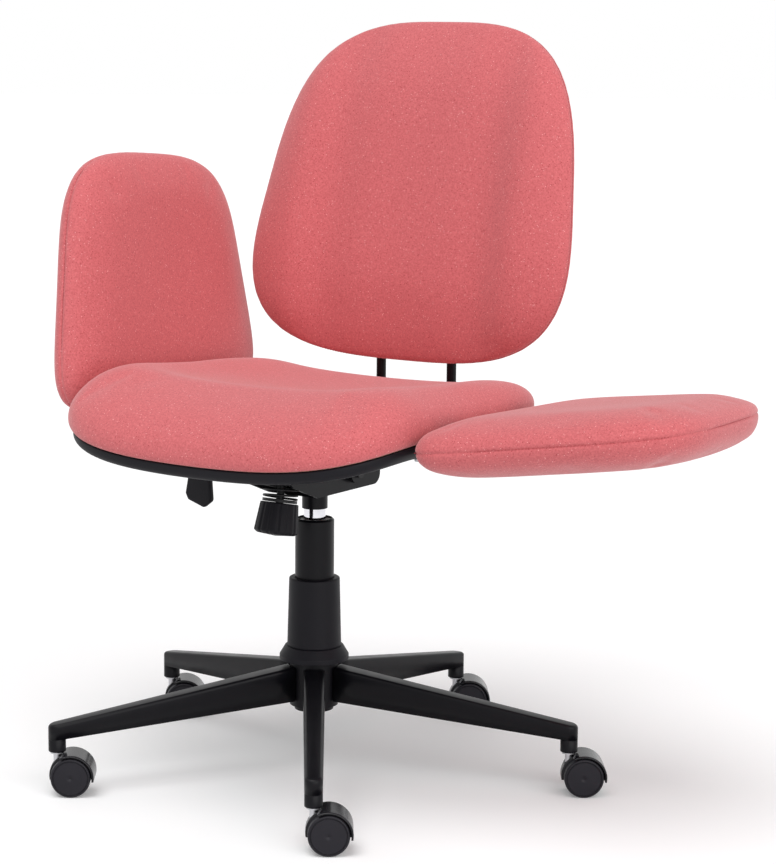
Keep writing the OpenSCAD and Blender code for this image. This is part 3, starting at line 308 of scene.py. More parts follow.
def makeWood(name, pale, deep):
    # plywood: noise stretched along Y for the grain, between two browns
    material, tree, shader = startMaterial(name, pale, 0.6)
    place = addNode(tree, "ShaderNodeTexCoord")
    stretch = addNode(tree, "ShaderNodeMapping", {"Scale": (90.0, 6.0, 160.0)})
    tree.links.new(place.outputs["Object"], stretch.inputs["Vector"])
    grain = addNode(tree, "ShaderNodeTexNoise", {"Scale": 1.0, "Detail": 4.0})
    tree.links.new(stretch.outputs[0], grain.inputs["Vector"])
    tree.links.new(blendColor(tree, grain.outputs[0], deep, pale), shader.inputs["Base Color"])
    addBump(tree, shader, grain.outputs[0], 0.2, 0.0002)
    return material


coralFabric = makeFabric("coralFabric", fabricLook)
seamThread = makeHard("seamThread", (0.36, 0.05, 0.06), 0.8, 0.05, 3000.0, 0.0001, specular=0.2)
satinPaint = makeHard("satinPaint", (0.0040, 0.0037, 0.0052), 0.36, 0.05, 700.0, 0.00006, specular=0.15)
blackPlastic = makeHard("blackPlastic", (0.0065, 0.0060, 0.0085), 0.50, 0.05, 2600.0, 0.00008, specular=0.16)
casterGloss = makeHard("casterGloss", (0.0070, 0.0065, 0.0090), 0.22, 0.04, 1800.0, 0.00003, specular=0.26)
wheelNylon = makeHard("wheelNylon", (0.0125, 0.0115, 0.0155), 0.42, 0.05, 1500.0, 0.00005, specular=0.20)
polishedChrome = makeHard("polishedChrome", (0.70, 0.70, 0.73), 0.10, 0.03, 900.0, 0.00001, metallic=1.0)
zincSteel = makeHard("zincSteel", (0.45, 0.45, 0.47), 0.34, 0.06, 1500.0, 0.00004, metallic=1.0)
paleNylon = makeHard("paleNylon", (0.62, 0.61, 0.56), 0.5, 0.05, 1500.0, 0.00005)
darkRubber = makeHard("darkRubber", (0.018, 0.018, 0.019), 0.75, 0.05, 1500.0, 0.0001)
blackOxide = makeHard("blackOxide", (0.006, 0.006, 0.007), 0.40, 0.05, 1500.0, 0.00004, specular=0.25)
plywood = makeWood("plywood", (0.62, 0.42, 0.22), (0.36, 0.21, 0.10))
slotFinish = {
    "upholstery": coralFabric, "painted_steel": satinPaint, "black_plastic": blackPlastic,
    "caster_plastic": casterGloss, "pins": zincSteel, "chrome_tube": polishedChrome,
    "spring_steel": blackOxide, "boards": plywood, "bush_plastic": paleNylon, "pad_rubber": darkRubber,
}
for row in frame["record"]["subparts"]:
    nodeMesh = frame["nodes"][row["node"]].data
    nodeMesh.materials.clear()
    dark = row["node"] in ("spring_washer", "tension_bolt", "tilt_axle")
    nodeMesh.materials.append(blackOxide if dark else slotFinish[row["material_slot"]])
print("finishes made")

# Cushions: a square grid is drawn onto a superellipse outline, once for each side of the pad


def gridLines(even, fine):
    # lines from -1 to 1: evenly spread in the middle, and at the given shares in from both rims
    edge = 1 - np.array(fine[:-1])
    return np.concatenate([-edge, np.linspace(-1 + fine[-1], 1 - fine[-1], even), edge[::-1]])


def unitGrid(lines, powerRight, powerLeft, powerUp, powerDown):
    # direction on the unit superellipse for each (u, v), and the share of the way out, max(|u|, |v|)
    u, v = np.meshgrid(lines, lines)
    across, along = np.where(u >= 0, powerRight, powerLeft), np.where(v >= 0, powerUp, powerDown)
    power = across * np.abs(u) + along * np.abs(v)
    power = power / (np.abs(u) + np.abs(v) + 1e-9)
    power = np.where(power < 1, 2, power)
    size = (np.abs(u) ** power + np.abs(v) ** power) ** (1 / power)
    size = np.where(size < 1e-9, 1, size)
    return u / size, v / size, np.maximum(np.abs(u), np.abs(v))


def crownTable(power, reach, height):
    # crown profile share = cos(p)^(2 / power), rise = sin(p), and the length along it from the rim
    p = np.linspace(0, math.pi / 2, 800)
    share = np.cos(p) ** (2 / power)
    rise = np.sin(p)
    length = np.concatenate([[0], np.cumsum(np.hypot(np.diff(share) * reach, np.diff(rise) * height))])
    return length, share, rise


def crownAt(away, table):
    # outline share, rise and distance from the rim, for a share of the way in from the rim along the crown
    length, share, rise = table
    at = away * length[-1]
    return np.interp(at, length, share), np.interp(at, length, rise), at


def readFloats(mesh, key):
    # one float attribute of a mesh's points
    values = np.zeros(len(mesh.vertices), np.float32)
    mesh.attributes[key].data.foreach_get("value", values)
    return values


def pointsOf(mesh):
    # all points of a mesh, n by 3
    values = np.zeros(len(mesh.vertices) * 3, np.float32)
    mesh.vertices.foreach_get("co", values)
    return values.reshape(-1, 3)


def inflate(mesh, look):
    # cloth with pressure: points near the seam stay, the others swell by at most the cap
    piece = bpy.data.objects.new("swelling", mesh)
    bpy.context.scene.collection.objects.link(piece)
    hold = np.round(10 * np.clip(1 - readFloats(mesh, "seamDistance") / look["holdWidth"], 0, 1)).astype(int)
    group = piece.vertex_groups.new(name="hold")
    for level in range(1, 11):
        group.add(np.flatnonzero(hold == level).tolist(), level / 10, "REPLACE")
    cloth = piece.modifiers.new("cloth", "CLOTH")
    cloth.settings.vertex_group_mass = "hold"
    cloth.settings.quality = 5
    cloth.settings.mass = 0.3
    cloth.settings.tension_stiffness = look["stiffness"]
    cloth.settings.compression_stiffness = look["stiffness"]
    cloth.settings.shear_stiffness = look["stiffness"] / 2
    cloth.settings.bending_stiffness = look["bending"]
    cloth.settings.use_pressure = True
    cloth.settings.uniform_pressure_force = look["pressure"]
    cloth.settings.effector_weights.gravity = 0
    cloth.collision_settings.use_collision = False
    cloth.point_cache.frame_start = 1
    cloth.point_cache.frame_end = 20
    for step in range(1, 21):
        bpy.context.scene.frame_set(step)
    posed = piece.evaluated_get(bpy.context.evaluated_depsgraph_get())
    before = pointsOf(mesh)
    move = pointsOf(posed.data) - before
    size = np.linalg.norm(move, axis=1)[:, None] + 1e-9
    move *= look["cap"] * np.tanh(size / look["cap"]) / size
    mesh.vertices.foreach_set("co", (before + move).ravel())
    bpy.context.scene.frame_set(1)
    bpy.data.objects.remove(piece)
    swell = np.linalg.norm(move, axis=1) * 1000
    print(f"  swollen {swell.max():.1f} mm at most, {swell.mean():.1f} mm on average")


def subdivided(mesh, levels=1):
    # subdivision surface, applied
    piece = bpy.data.objects.new("dividing", mesh)
    bpy.context.scene.collection.objects.link(piece)
    divide = piece.modifiers.new("divide", "SUBSURF")
    divide.levels = divide.render_levels = levels
    made = bpy.data.meshes.new_from_object(piece.evaluated_get(bpy.context.evaluated_depsgraph_get()))
    bpy.data.objects.remove(piece)
    made.shade_smooth()
    return made


def sewSeam(mesh, depth, width, gather):
    # points near the seam sink by depth * exp(-(distance / width)^2); small gathers fade out beside it
    n = len(mesh.vertices)
    normal = np.zeros(n * 3, np.float32)
    mesh.vertex_normals.foreach_get("vector", normal)
    co, normal, away = pointsOf(mesh), normal.reshape(-1, 3), readFloats(mesh, "seamDistance")
    sink = depth * np.exp(-(away / width) ** 2)
    wave = np.sin(co[:, 0] * 410) * np.sin(co[:, 1] * 370 + 1) + np.sin(co[:, 2] * 390)
    sink += gather * wave * np.exp(-(away / 0.010)) * (away > 0)
    mesh.vertices.foreach_set("co", (co - normal * sink[:, None]).ravel())
    mesh.update()


def stitchRow(path, outward, look):
    # threads along a closed path: each is a thin tube that dips into the cloth at both ends
    step = np.linalg.norm(np.roll(path, -1, 0) - path, axis=1)
    along = np.concatenate([[0], np.cumsum(step)])
    closed, out = np.concatenate([path, path[:1]]), np.concatenate([outward, outward[:1]])
    count = int(along[-1] / look["pitch"])
    share = np.linspace(-0.5, 0.5, 5) * look["length"] / look["pitch"]
    t = (np.arange(count)[:, None] + share[None, :] + 0.5) * along[-1] / count
    centre = np.stack([np.interp(t, along, closed[:, k]) for k in range(3)], -1)
    lift = np.stack([np.interp(t, along, out[:, k]) for k in range(3)], -1)
    lift /= np.linalg.norm(lift, axis=-1)[..., None]
    bow = np.array([-1.2, 0.1, 0.5, 0.1, -1.2]) * look["radius"] - look["sunk"]
    centre = centre + lift * bow[None, :, None]
    ahead = np.gradient(centre, axis=1)
    ahead /= np.linalg.norm(ahead, axis=-1)[..., None]
    side = np.cross(ahead, lift)
    width = np.array([0.4, 0.9, 1, 0.9, 0.4]) * look["radius"]
    angle = np.linspace(0, 2 * math.pi, 6, endpoint=False)
    ring = (np.cos(angle)[None, None, :, None] * side[:, :, None]
            + np.sin(angle)[None, None, :, None] * lift[:, :, None])
    points = centre[:, :, None] + ring * width[None, :, None, None]
    first = np.arange(count)[:, None, None] * 30
    ends = np.array([[0, 1, 2, 3], [0, 3, 4, 5], [24, 25, 26, 27], [24, 27, 28, 29]])
    faces = [(rows[None] + first).reshape(-1, 4) for rows in (gridFaces(5, 6, True), ends)]
    return [(points.reshape(-1, 3), np.concatenate(faces))]


seatPad = {
    "halfWidth": 0.257, "front": 0.266, "rear": 0.228, "frontPower": 3.9, "rearPower": 5.0,
    "sidePower": 3.9, "halfReach": 0.25, "taper": 0.03, "waist": 0.07, "waistY": 0.022, "waistLength": 0.200,
    "widest": 0.4660, "underside": 0.4528,
    "crown": 0.042, "crownPower": 6.2, "wedge": 0.08, "rearWedge": 0.045, "dish": 0.014, "sideRise": 0.016,
    "frontDrop": 0.020, "dropStart": 0.120, "tuck": 0.0065, "frontRoll": (0.008, -0.170, 0.050),
    "middleDip": (0.004, 0.10, 0.15), "sideRoll": (0.012, 0.205, 0.050), "sideRollFrom": (-0.22, -0.10),
    "even": 52, "fine": (0.0, 0.006, 0.014, 0.026, 0.044, 0.068),
    "holdWidth": 0.030, "stiffness": 22.0, "bending": 4.0, "pressure": 7.0, "cap": 0.006,
}


def seatLift(x, y):
    # rise towards the sides and drop of the front edge
    drop = seatPad["frontDrop"] * (np.maximum(0, -y - seatPad["dropStart"])
                                   / (seatPad["front"] - seatPad["dropStart"])) ** 2
    return seatPad["sideRise"] * (x / seatPad["halfWidth"]) ** 2 - drop


def seatPlan(ex, ey, share, inset=0.0):
    # plan point at a share of the outline: narrower towards the rear and in the waist between the wings
    y = share * (np.where(ey > 0, seatPad["rear"], seatPad["front"]) - inset) * ey
    narrow = seatPad["waist"] * np.exp(-(np.abs(y - seatPad["waistY"]) / seatPad["waistLength"]) ** 4)
    width = seatPad["halfWidth"] * (1 - seatPad["taper"] * y / seatPad["rear"]) * (1 - narrow)
    return share * (width - inset) * ex, y


def makeSeatCushion():
    # top z = widest + (crown + rolls - wedge * y) * rise - dish * (1 - share^2) + lift
    # side below it: inset = tuck * (1 - cos(s)), fall = sin(s) * height, s from 0 to 90 degrees; then flat
    look = seatPad
    lines, power = gridLines(look["even"], look["fine"]), look["sidePower"]
    ex, ey, out = unitGrid(lines, power, power, look["rearPower"], look["frontPower"])
    share, rise, away = crownAt(1 - out, crownTable(look["crownPower"], look["halfReach"], look["crown"]))
    x, y = seatPlan(ex, ey, share)
    front, frontY, frontWidth = look["frontRoll"]
    dip, dipLength, dipWidth = look["middleDip"]
    rolls = front * bump(y, frontY, frontWidth) - dip * bump(y, 0.00, dipLength) * bump(x, 0, dipWidth)
    hump, sideX, sideWidth = look["sideRoll"]
    rolls += hump * bump(np.abs(x), sideX, sideWidth) * smoothStep(y, *look["sideRollFrom"])
    z = look["widest"] + look["crown"] * rise - look["dish"] * (1 - share ** 2) + seatLift(x, y)
    tilt = np.where(y < 0, look["wedge"], look["rearWedge"]) * y
    top = np.stack([x, y, z + rise * (rolls - tilt)], -1)
    s = np.minimum(1, (1 - out) / look["fine"][-1]) * math.pi / 2
    drawn = 1 - look["tuck"] * (1 - np.cos(s)) / look["halfReach"]
    flat = np.where(out < 1 - look["fine"][-1], out / (1 - look["fine"][-1]), 1)
    x, y = seatPlan(ex, ey, flat * drawn)
    fall = (look["widest"] - look["underside"]) * np.sin(s)
    low = np.stack([x, y, look["widest"] - fall + seatLift(x, y)], -1)
    mesh = buildMesh("seatCushion", [gridPart(top, False), gridPart(low, False)],
                     {"seamDistance": np.concatenate([away.ravel(), np.zeros(low[..., 0].size)])})
    inflate(mesh, look)
    return subdivided(mesh)


seatCushion = addPiece(
    "seatCushion", makeSeatCushion(), "seat", coralFabric, ["seat_cushion"])
print("seat cushion made")

backPad = {
    "halfWidth": 0.239, "up": 0.236, "down": 0.222, "power": 3.2, "taper": 0.13, "wrap": 0.022,
    "frontDepth": 0.034, "rearDepth": 0.032, "crownPower": 4.8, "halfReach": 0.23,
    "middle": (0, 0.2505, 0.7305), "recline": 13.6,
    "bolster": (0.0080, 0.176, 0.032), "valley": (0.0070, 0.120, 0.034), "hollow": (0.002, 0.10),
    "even": 50, "fine": (0.0, 0.004, 0.010, 0.020, 0.036, 0.058),
    "holdWidth": 0.025, "stiffness": 22.0, "bending": 4.0, "pressure": 7.0, "cap": 0.005,
}
onBack = (Matrix.Translation(Vector(backPad["middle"]))
          @ Matrix.Rotation(math.radians(90 - backPad["recline"]), 4, "X"))
seamLook = {"pitch": 0.0042, "length": 0.0030, "radius": 0.00030, "sunk": 0.0008,
            "depth": 0.0014, "width": 0.0018, "gather": 0.00012}


def backPlan(ex, ey, share):
    # outline of the backrest: narrower towards its top, wrapped forwards at its sides
    x = share * backPad["halfWidth"] * (1 - backPad["taper"] * ey) * ex
    y = share * np.where(ey > 0, backPad["up"], backPad["down"]) * ey
    return x, y, backPad["wrap"] * (x / backPad["halfWidth"]) ** 2


def makeBackPad():
    # depth = side * depth * rise + wrap, and on the front two soft bolsters beside a shallow hollow
    look = backPad
    ex, ey, out = unitGrid(gridLines(look["even"], look["fine"]), *[look["power"]] * 4)
    parts, seam = [], []
    for side, depth in ((1, look["frontDepth"]), (-1, look["rearDepth"])):
        share, rise, away = crownAt(1 - out, crownTable(look["crownPower"], look["halfReach"], depth))
        x, y, wrap = backPlan(ex, ey, share)
        w = side * depth * rise + wrap
        if side > 0:
            bolster, bolsterX, bolsterWidth = look["bolster"]
            valley, valleyX, valleyWidth = look["valley"]
            hollow, hollowWidth = look["hollow"]
            relief = bolster * bump(np.abs(x), bolsterX, bolsterWidth) - hollow * bump(x, 0, hollowWidth)
            w = w + rise * (relief - valley * bump(np.abs(x), valleyX, valleyWidth))
        points = moved(np.stack([x, y, w], -1).reshape(-1, 3), onBack)
        parts.append(gridPart(points.reshape(*x.shape, 3), False))
        seam.append(away.ravel())
    mesh = buildMesh("backPad", parts, {"seamDistance": np.concatenate(seam)})
    inflate(mesh, look)
    mesh = subdivided(mesh)
    sewSeam(mesh, seamLook["depth"], seamLook["width"], seamLook["gather"])
    return mesh


def backSeam():
    # stitches along the outline of the backrest
    t = np.linspace(0, 2 * math.pi, 1600, endpoint=False)
    ex, ey = signedPower(np.cos(t), 2 / backPad["power"]), signedPower(np.sin(t), 2 / backPad["power"])
    x, y, wrap = backPlan(ex, ey, 1.0)
    path = moved(np.stack([x, y, wrap], -1), onBack)
    outward = moved(np.stack([x, y, wrap], -1) * [1.02, 1.02, 1], onBack) - path
    return buildMesh("backSeam", stitchRow(path, outward, seamLook))


backCushion = addPiece("backPad", makeBackPad(), "seat", coralFabric,
                       ["back_cushion", "back_cover"])
addPiece("backSeam", backSeam(), "seat", seamThread)
print("backrest made")

wingPad = {
    "hinge": (0.255, 0.472), "reach": 0.316, "root": 0.012, "thick": 0.0665, "halfLength": 0.185,
    "middleY": 0.025, "drift": 0.004, "taper": 0.155, "tipPower": 3.2, "rootPower": 8.5, "sidePower": 4.6,
    "edgePower": 9.0, "halfReach": 0.17,
    "middleQ": -0.015, "seamUp": 0.006, "skew": 0.07, "lean": 5.5, "frontRise": 0.030,
    "hollow": 0.003, "hollowY": 0.03, "hollowAlong": 0.16, "hollowWidth": 0.09,
    "slope": 7.5, "armY": (-0.070, 0.120), "armHalf": 0.0212, "armReach": 0.0072,
    "even": 42, "fine": (0.0, 0.005, 0.013, 0.026, 0.046, 0.074),
    "holdWidth": 0.030, "stiffness": 22.0, "bending": 4.0, "pressure": 8.0, "cap": 0.004,
}


def onWing(side):
    # matrix of a wing's frame: origin on its hinge axis, X along the wing, Z out of its upper face
    turn = -wingPad["slope"] if side > 0 else wingPad["lean"] - 90
    place = Matrix.Translation((wingPad["hinge"][0], 0, wingPad["hinge"][1]))
    mirror = Matrix.Scale(1 if side > 0 else -1, 4, (1, 0, 0))
    return mirror @ place @ Matrix.Rotation(math.radians(turn), 4, "Y")


def wingPlan(ex, ey, share):
    # outline of a wing: narrower towards its tip, where the front corner reaches further than the rear one
    half = (wingPad["reach"] + wingPad["root"]) / 2
    along = (wingPad["reach"] - wingPad["root"]) / 2 + share * half * ex
    width = wingPad["halfLength"] * (1 - wingPad["taper"] * ex)
    along = along - wingPad["skew"] * share * width * ey * ((1 + ex) / 2) ** 2
    return along, wingPad["middleY"] + share * (wingPad["drift"] * ex + width * ey)


def clearOfArms(co):
    # points near the root are pushed in where the two hinge arms pass
    for armY in wingPad["armY"]:
        window = 1 - smoothStep(np.abs(co[:, 1] - armY), wingPad["armHalf"], wingPad["armHalf"] + 0.005)
        co[:, 0] += (np.maximum(co[:, 0], wingPad["armReach"]) - co[:, 0]) * window
    return co


def makeWingPad(side, name):
    # q = seam level + (up * half thickness - seamUp - frontRise * (y - middleY)) * rise
    look = wingPad
    powers = look["tipPower"], look["rootPower"], look["sidePower"], look["sidePower"]
    ex, ey, out = unitGrid(gridLines(look["even"], look["fine"]), *powers)
    share, rise, away = crownAt(1 - out, crownTable(look["edgePower"], look["halfReach"], look["thick"] / 2))
    along, y = wingPlan(ex, ey, share)
    parts = []
    for up in (1, -1):
        height = up * look["thick"] / 2 - look["seamUp"] - look["frontRise"] * (y - look["middleY"])
        q = look["middleQ"] + look["seamUp"] + height * rise
        if up > 0:
            dent = bump(y, look["hollowY"], look["hollowWidth"])
            q = q - look["hollow"] * rise * dent * bump(along, look["hollowAlong"], look["hollowWidth"])
        parts.append(gridPart(np.stack([along, y, q], -1), False))
    mesh = buildMesh(name, parts, {"seamDistance": np.tile(away.ravel(), 2)})
    inflate(mesh, look)
    mesh = subdivided(mesh)
    sewSeam(mesh, seamLook["depth"], seamLook["width"], seamLook["gather"])
    mesh.vertices.foreach_set("co", moved(clearOfArms(pointsOf(mesh)), onWing(side)).ravel())
    if side < 0:
        mesh.flip_normals()
    return mesh


def wingSeam(side, name):
    # stitches along the outline of a wing
    t = np.linspace(0, 2 * math.pi, 2400, endpoint=False) + math.pi
    power = np.where(np.cos(t) >= 0, wingPad["tipPower"], wingPad["rootPower"])
    power = power * np.abs(np.cos(t)) ** 2 + wingPad["sidePower"] * np.abs(np.sin(t)) ** 2
    ex, ey = signedPower(np.cos(t), 2 / power), signedPower(np.sin(t), 2 / power)
    along, y = wingPlan(ex, ey, 1.0)
    level = wingPad["middleQ"] + wingPad["seamUp"]
    flat = clearOfArms(np.stack([along, y, np.full_like(y, level)], -1))
    outward = flat - [(wingPad["reach"] - wingPad["root"]) / 2, wingPad["middleY"], level]
    matrix = onWing(side)
    path = moved(flat, matrix)
    return buildMesh(name, stitchRow(path, moved(flat + outward * 0.01, matrix) - path, seamLook))


for side, word in ((1, "Left"), (-1, "Right")):
    name = word.lower()
    pad = addPiece("wingPad" + word, makeWingPad(side, "wingPad" + word), "wing_" + name,
                   coralFabric, ["wing_pad_" + name])
    addPiece("wingSeam" + word, wingSeam(side, "wingSeam" + word), "wing_" + name, seamThread)
print("wings made")

# Seat pan: rings of the seat's outline, each drawn in and set at a height,
# from under the middle round the rim and back
seatPan = {
    "underside": 0.435, "rim": 0.4525, "inset": 0.005, "wall": 0.0033, "rimWidth": 0.004, "corner": 0.011,
    "draft": 0.0012, "fillet": 0.002, "points": 264,
}


def makeSeatPan():
    # (inset, height) profile: flat underside, round corner, upright rim with a rounded lip,
    # inner wall, floor
    look = seatPan
    low, rim, edge = look["underside"], look["rim"], look["inset"]
    corner, lip, floor = look["corner"], look["rimWidth"] / 2, low + look["wall"]
    bend = np.linspace(0, math.pi / 2, 9)
    over = np.linspace(0, math.pi, 9)
    fillet = look["fillet"]
    cornerInset = edge + corner * (1 - np.sin(bend)) + look["draft"] * np.cos(bend)
    profile = np.concatenate([
        np.stack([cornerInset, low + corner * (1 - np.cos(bend))], 1),
        np.stack([edge + lip * (1 - np.cos(over)), rim - lip + lip * np.sin(over)], 1),
        [[edge + 2 * lip, floor + fillet], [edge + 2 * lip + fillet, floor]]])
    t = np.linspace(0, 2 * math.pi, look["points"], endpoint=False)
    power = np.where(np.sin(t) > 0, seatPad["rearPower"], seatPad["frontPower"])
    ex, ey = signedPower(np.cos(t), 2 / power), signedPower(np.sin(t), 2 / power)
    rows = []
    for share, inset, level in ([(0.3, edge, low), (0.6, edge, low), (0.85, edge, low)]
                                + [(1.0, a, b) for a, b in profile]
                                + [(0.85, edge, floor), (0.6, edge, floor), (0.3, edge, floor)]):
        x, y = seatPlan(ex, ey, share, inset)
        rows.append(np.stack([x, y, level + seatLift(x, y)], -1))
    return buildMesh("seatPan", [
        gridPart(np.array(rows)), capPart(rows[0], [0, 0, low]), capPart(rows[-1], [0, 0, floor])])


addPiece("seatPan", makeSeatPan(), "seat", blackPlastic, ["seat_shell"])
print("seat pan made")

# Base
base = {
    "stemCircle": 0.3375, "firstLeg": -55.0, "step": 72.0, "hubRadius": 0.0302, "hubTop": 0.144,
    "hubLow": 0.098, "hubWidth": 0.028, "tipTop": 0.089, "tipLow": 0.070, "tipWidth": 0.022,
    "wall": 0.0025, "edge": 0.0042,
    "post": (0.0055, 0.0109, 0.0545, 0.080),
}


def legRing(inset, level):
    # plan outline of a leg, drawn in by inset, at the height that level gives for each x
    tip, half = base["stemCircle"], base["tipWidth"] / 2 - inset
    start = base["hubRadius"] + inset
    hubHalf = base["hubWidth"] / 2 - inset
    around = np.linspace(-math.pi / 2, math.pi / 2, 15)
    side = np.linspace(start, tip, 12)
    x = np.concatenate([side[:-1], tip + half * np.cos(around), side[::-1][1:]])
    share = np.clip((x - start) / (tip - start), 0, 1)
    reach = hubHalf + (half - hubHalf) * share
    y = np.concatenate([-reach[:11], half * np.sin(around), reach[-11:]])
    return np.stack([x, y, level(x)], -1)


def sloped(atHub, atTip, drop=0.0):
    # height that falls straight from the column's middle to the stem, less a drop
    start, end = base["hubRadius"] / 2, base["stemCircle"] + base["tipWidth"] / 2

    def level(x):
        return atHub + (atTip - atHub) * (x - start) / (end - start) - drop
    return level


def makeLeg(number):
    # pressed channel, open below: outer wall, rounded upper rim, inner wall;
    # the stem's post stands under the tip
    edge, wall = base["edge"], base["wall"]
    t = np.linspace(0, math.pi / 2, 6)
    rings = [legRing(0.0, sloped(base["hubLow"], base["tipLow"]))]
    for a in t:
        drop = edge * (1 - math.sin(a))
        rings.append(legRing(edge * (1 - math.cos(a)), sloped(base["hubTop"], base["tipTop"], drop)))
    inner = [legRing(wall, sloped(base["hubLow"], base["tipLow"])),
             legRing(wall, sloped(base["hubTop"], base["tipTop"], wall + edge / 2)),
             legRing(wall + edge / 2, sloped(base["hubTop"], base["tipTop"], wall))]
    middle = (base["hubRadius"] + base["stemCircle"]) / 2
    top = sloped(base["hubTop"], base["tipTop"])
    parts = [gridPart(np.array(inner[::-1] + rings)), capPart(rings[-1], [middle, 0, top(middle)]),
             capPart(inner[-1], [middle, 0, top(middle) - wall])]
    bore, outer, low, high = base["post"]
    post = roundedOutline([
        (bore, low, 0.0006), (outer + 0.0001, low, 0.0012), (outer, high, 0), (bore, high, 0)], 4)
    postPoints, postFaces = revolved(post, 48)[0]
    parts.append((postPoints + [base["stemCircle"], 0, 0], postFaces))
    turn = Matrix.Rotation(math.radians(base["firstLeg"] + base["step"] * (number - 1)), 4, "Z")
    return buildMesh(f"baseLeg{number}", [(moved(p, turn), f) for p, f in parts])


for number in range(1, 6):
    addPiece(f"baseLeg{number}", makeLeg(number), "base", satinPaint,
             [f"base_leg_{number}"])

collar = roundedOutline([
    (0.02505, 0.1535, 0), (0.0330, 0.1535, 0), (0.0420, 0.1490, 0), (0.0445, 0.1490, 0.0006),
    (0.0445, 0.1550, 0.0015), (0.0373, 0.1670, 0.0015), (0.02505, 0.1670, 0.0004)])
addPiece("hubCollar", buildMesh("hubCollar", revolved(collar, 128)), "base", blackPlastic,
         ["hub_collar"])
cover = roundedOutline([
    (0.0275, 0.1670, 0), (0.03475, 0.1670, 0.0005), (0.0325, 0.2560, 0.0022), (0.02510, 0.2560, 0.0006),
    (0.02510, 0.2460, 0), (0.0275, 0.2360, 0)])
addPiece("columnCover", buildMesh("columnCover", revolved(cover, 128)), "base",
         blackPlastic, ["column_cover"])
print("base made")

# Casters
caster = {
    "heading": 35.0, "trail": 0.018, "axleHeight": 0.025, "wellRadius": 0.0265,
    "fenderRadius": 0.029, "halfWidth": 0.0233, "fenderFrom": -10.0, "fenderTo": 118.0,
    "bucketRadius": 0.0190, "bucketTop": 0.0505, "bucketLow": 0.0175, "webHalf": 0.0077, "webRadius": 0.0277,
}


def applied(mesh, kind, cutters):
    # boolean of a mesh with closed cutters, one after the other
    piece = bpy.data.objects.new("cutting", mesh)
    bpy.context.scene.collection.objects.link(piece)
    tools = []
    for cutter in cutters:
        tool = bpy.data.objects.new("cutter", cutter)
        bpy.context.scene.collection.objects.link(tool)
        change = piece.modifiers.new("cut", "BOOLEAN")
        change.operation, change.solver, change.object = kind, "EXACT", tool
        tools.append(tool)
    made = bpy.data.meshes.new_from_object(piece.evaluated_get(bpy.context.evaluated_depsgraph_get()))
    for item in [piece] + tools:
        bpy.data.objects.remove(item)
    return made


def aboutAxle(parts):
    # parts turned about Z, laid so that Z becomes the axle's direction Y, and set at the axle
    lay = Matrix.Translation((caster["trail"], 0, caster["axleHeight"]))
    lay = lay @ Matrix.Rotation(math.pi / 2, 4, "X")
    return [(moved(np.asarray(p).reshape(-1, 3), lay), f) for p, f in parts]


def fenderParts():
    # rounded section carried round the axle over the fender's arc
    inner, outer, half = caster["wellRadius"] + 0.0001, caster["fenderRadius"], caster["halfWidth"]
    section = roundedOutline([(inner, -half, 0.0004), (outer, -half, 0.0020), (outer, half, 0.0020),
                              (inner, half, 0.0004)], 4)
    angle = np.radians(np.linspace(caster["fenderFrom"], caster["fenderTo"], 40))[:, None]
    points = np.stack([section[:, 0] * np.cos(angle), section[:, 0] * np.sin(angle),
                       np.broadcast_to(section[:, 1], (40, len(section)))], -1)
    return [gridPart(points), capPart(points[0], points[0].mean(0)), capPart(points[-1], points[-1].mean(0))]


def makeHood():
    # bucket round the stem with a recessed top, cut out for both wheels;
    # fender over the wheels; web between them
    radius, top, low = caster["bucketRadius"], caster["bucketTop"], caster["bucketLow"]
    bucket = roundedOutline([
        (0.00485, 0.0300, 0), (0.00485, 0.0520, 0.0003), (0.0074, 0.0520, 0.0006), (0.0078, 0.0470, 0.0006),
        (radius - 0.0022, 0.0470, 0.0006), (radius - 0.0020, top, 0.0006), (radius, top, 0.0012),
        (radius, low, 0.0085), (0.0004, low, 0), (0.0004, 0.0300, 0)])
    mesh = buildMesh("hood", revolved(bucket, 72))
    wells = []
    for side in (-1, 1):
        shape = roundedOutline([(caster["wellRadius"], 0.0085, 0), (caster["wellRadius"], 0.0400, 0),
                                (0.0001, 0.0400, 0), (0.0001, 0.0085, 0)])
        shape[:, 1] *= side
        wells.append(buildMesh("well", aboutAxle(revolved(shape, 96))))
    hood = bmesh.new()
    hood.from_mesh(applied(mesh, "DIFFERENCE", wells))
    half = caster["webHalf"]
    arc = np.radians(np.linspace(-12, 192, 40))
    web = np.stack([caster["webRadius"] * np.cos(arc), caster["webRadius"] * np.sin(arc)], 1)
    hood.from_mesh(buildMesh("fender", aboutAxle(fenderParts())))
    hood.from_mesh(buildMesh("web", aboutAxle(extruded(web, -half, half, 0.0005, 2))))
    made = bpy.data.meshes.new("hood")
    hood.to_mesh(made)
    hood.free()
    made.shade_smooth()
    return made


def makeWheels():
    # tread with rounded shoulders and a slightly domed face with a shallow ring, twice
    wheel = roundedOutline([
        (0.00305, 0.0083, 0), (0.0250, 0.0083, 0.0012), (0.0250, 0.0230, 0.0026), (0.0215, 0.02305, 0.0008),
        (0.0208, 0.0226, 0.0008), (0.0060, 0.0230, 0.0010), (0.0001, 0.0230, 0), (0.0001, 0.0221, 0),
        (0.00305, 0.0221, 0)], 5)
    parts = []
    for side in (-1, 1):
        shape = wheel.copy()
        shape[:, 1] *= side
        parts += aboutAxle(revolved(shape, 96))
    return buildMesh("wheels", parts)


def sharpened(mesh, degrees):
    # edges between faces that turn by more than this many degrees stay sharp
    shape = bmesh.new()
    shape.from_mesh(mesh)
    for edge in shape.edges:
        edge.smooth = len(edge.link_faces) == 2 and edge.calc_face_angle() < math.radians(degrees)
    shape.to_mesh(mesh)
    shape.free()
    return mesh


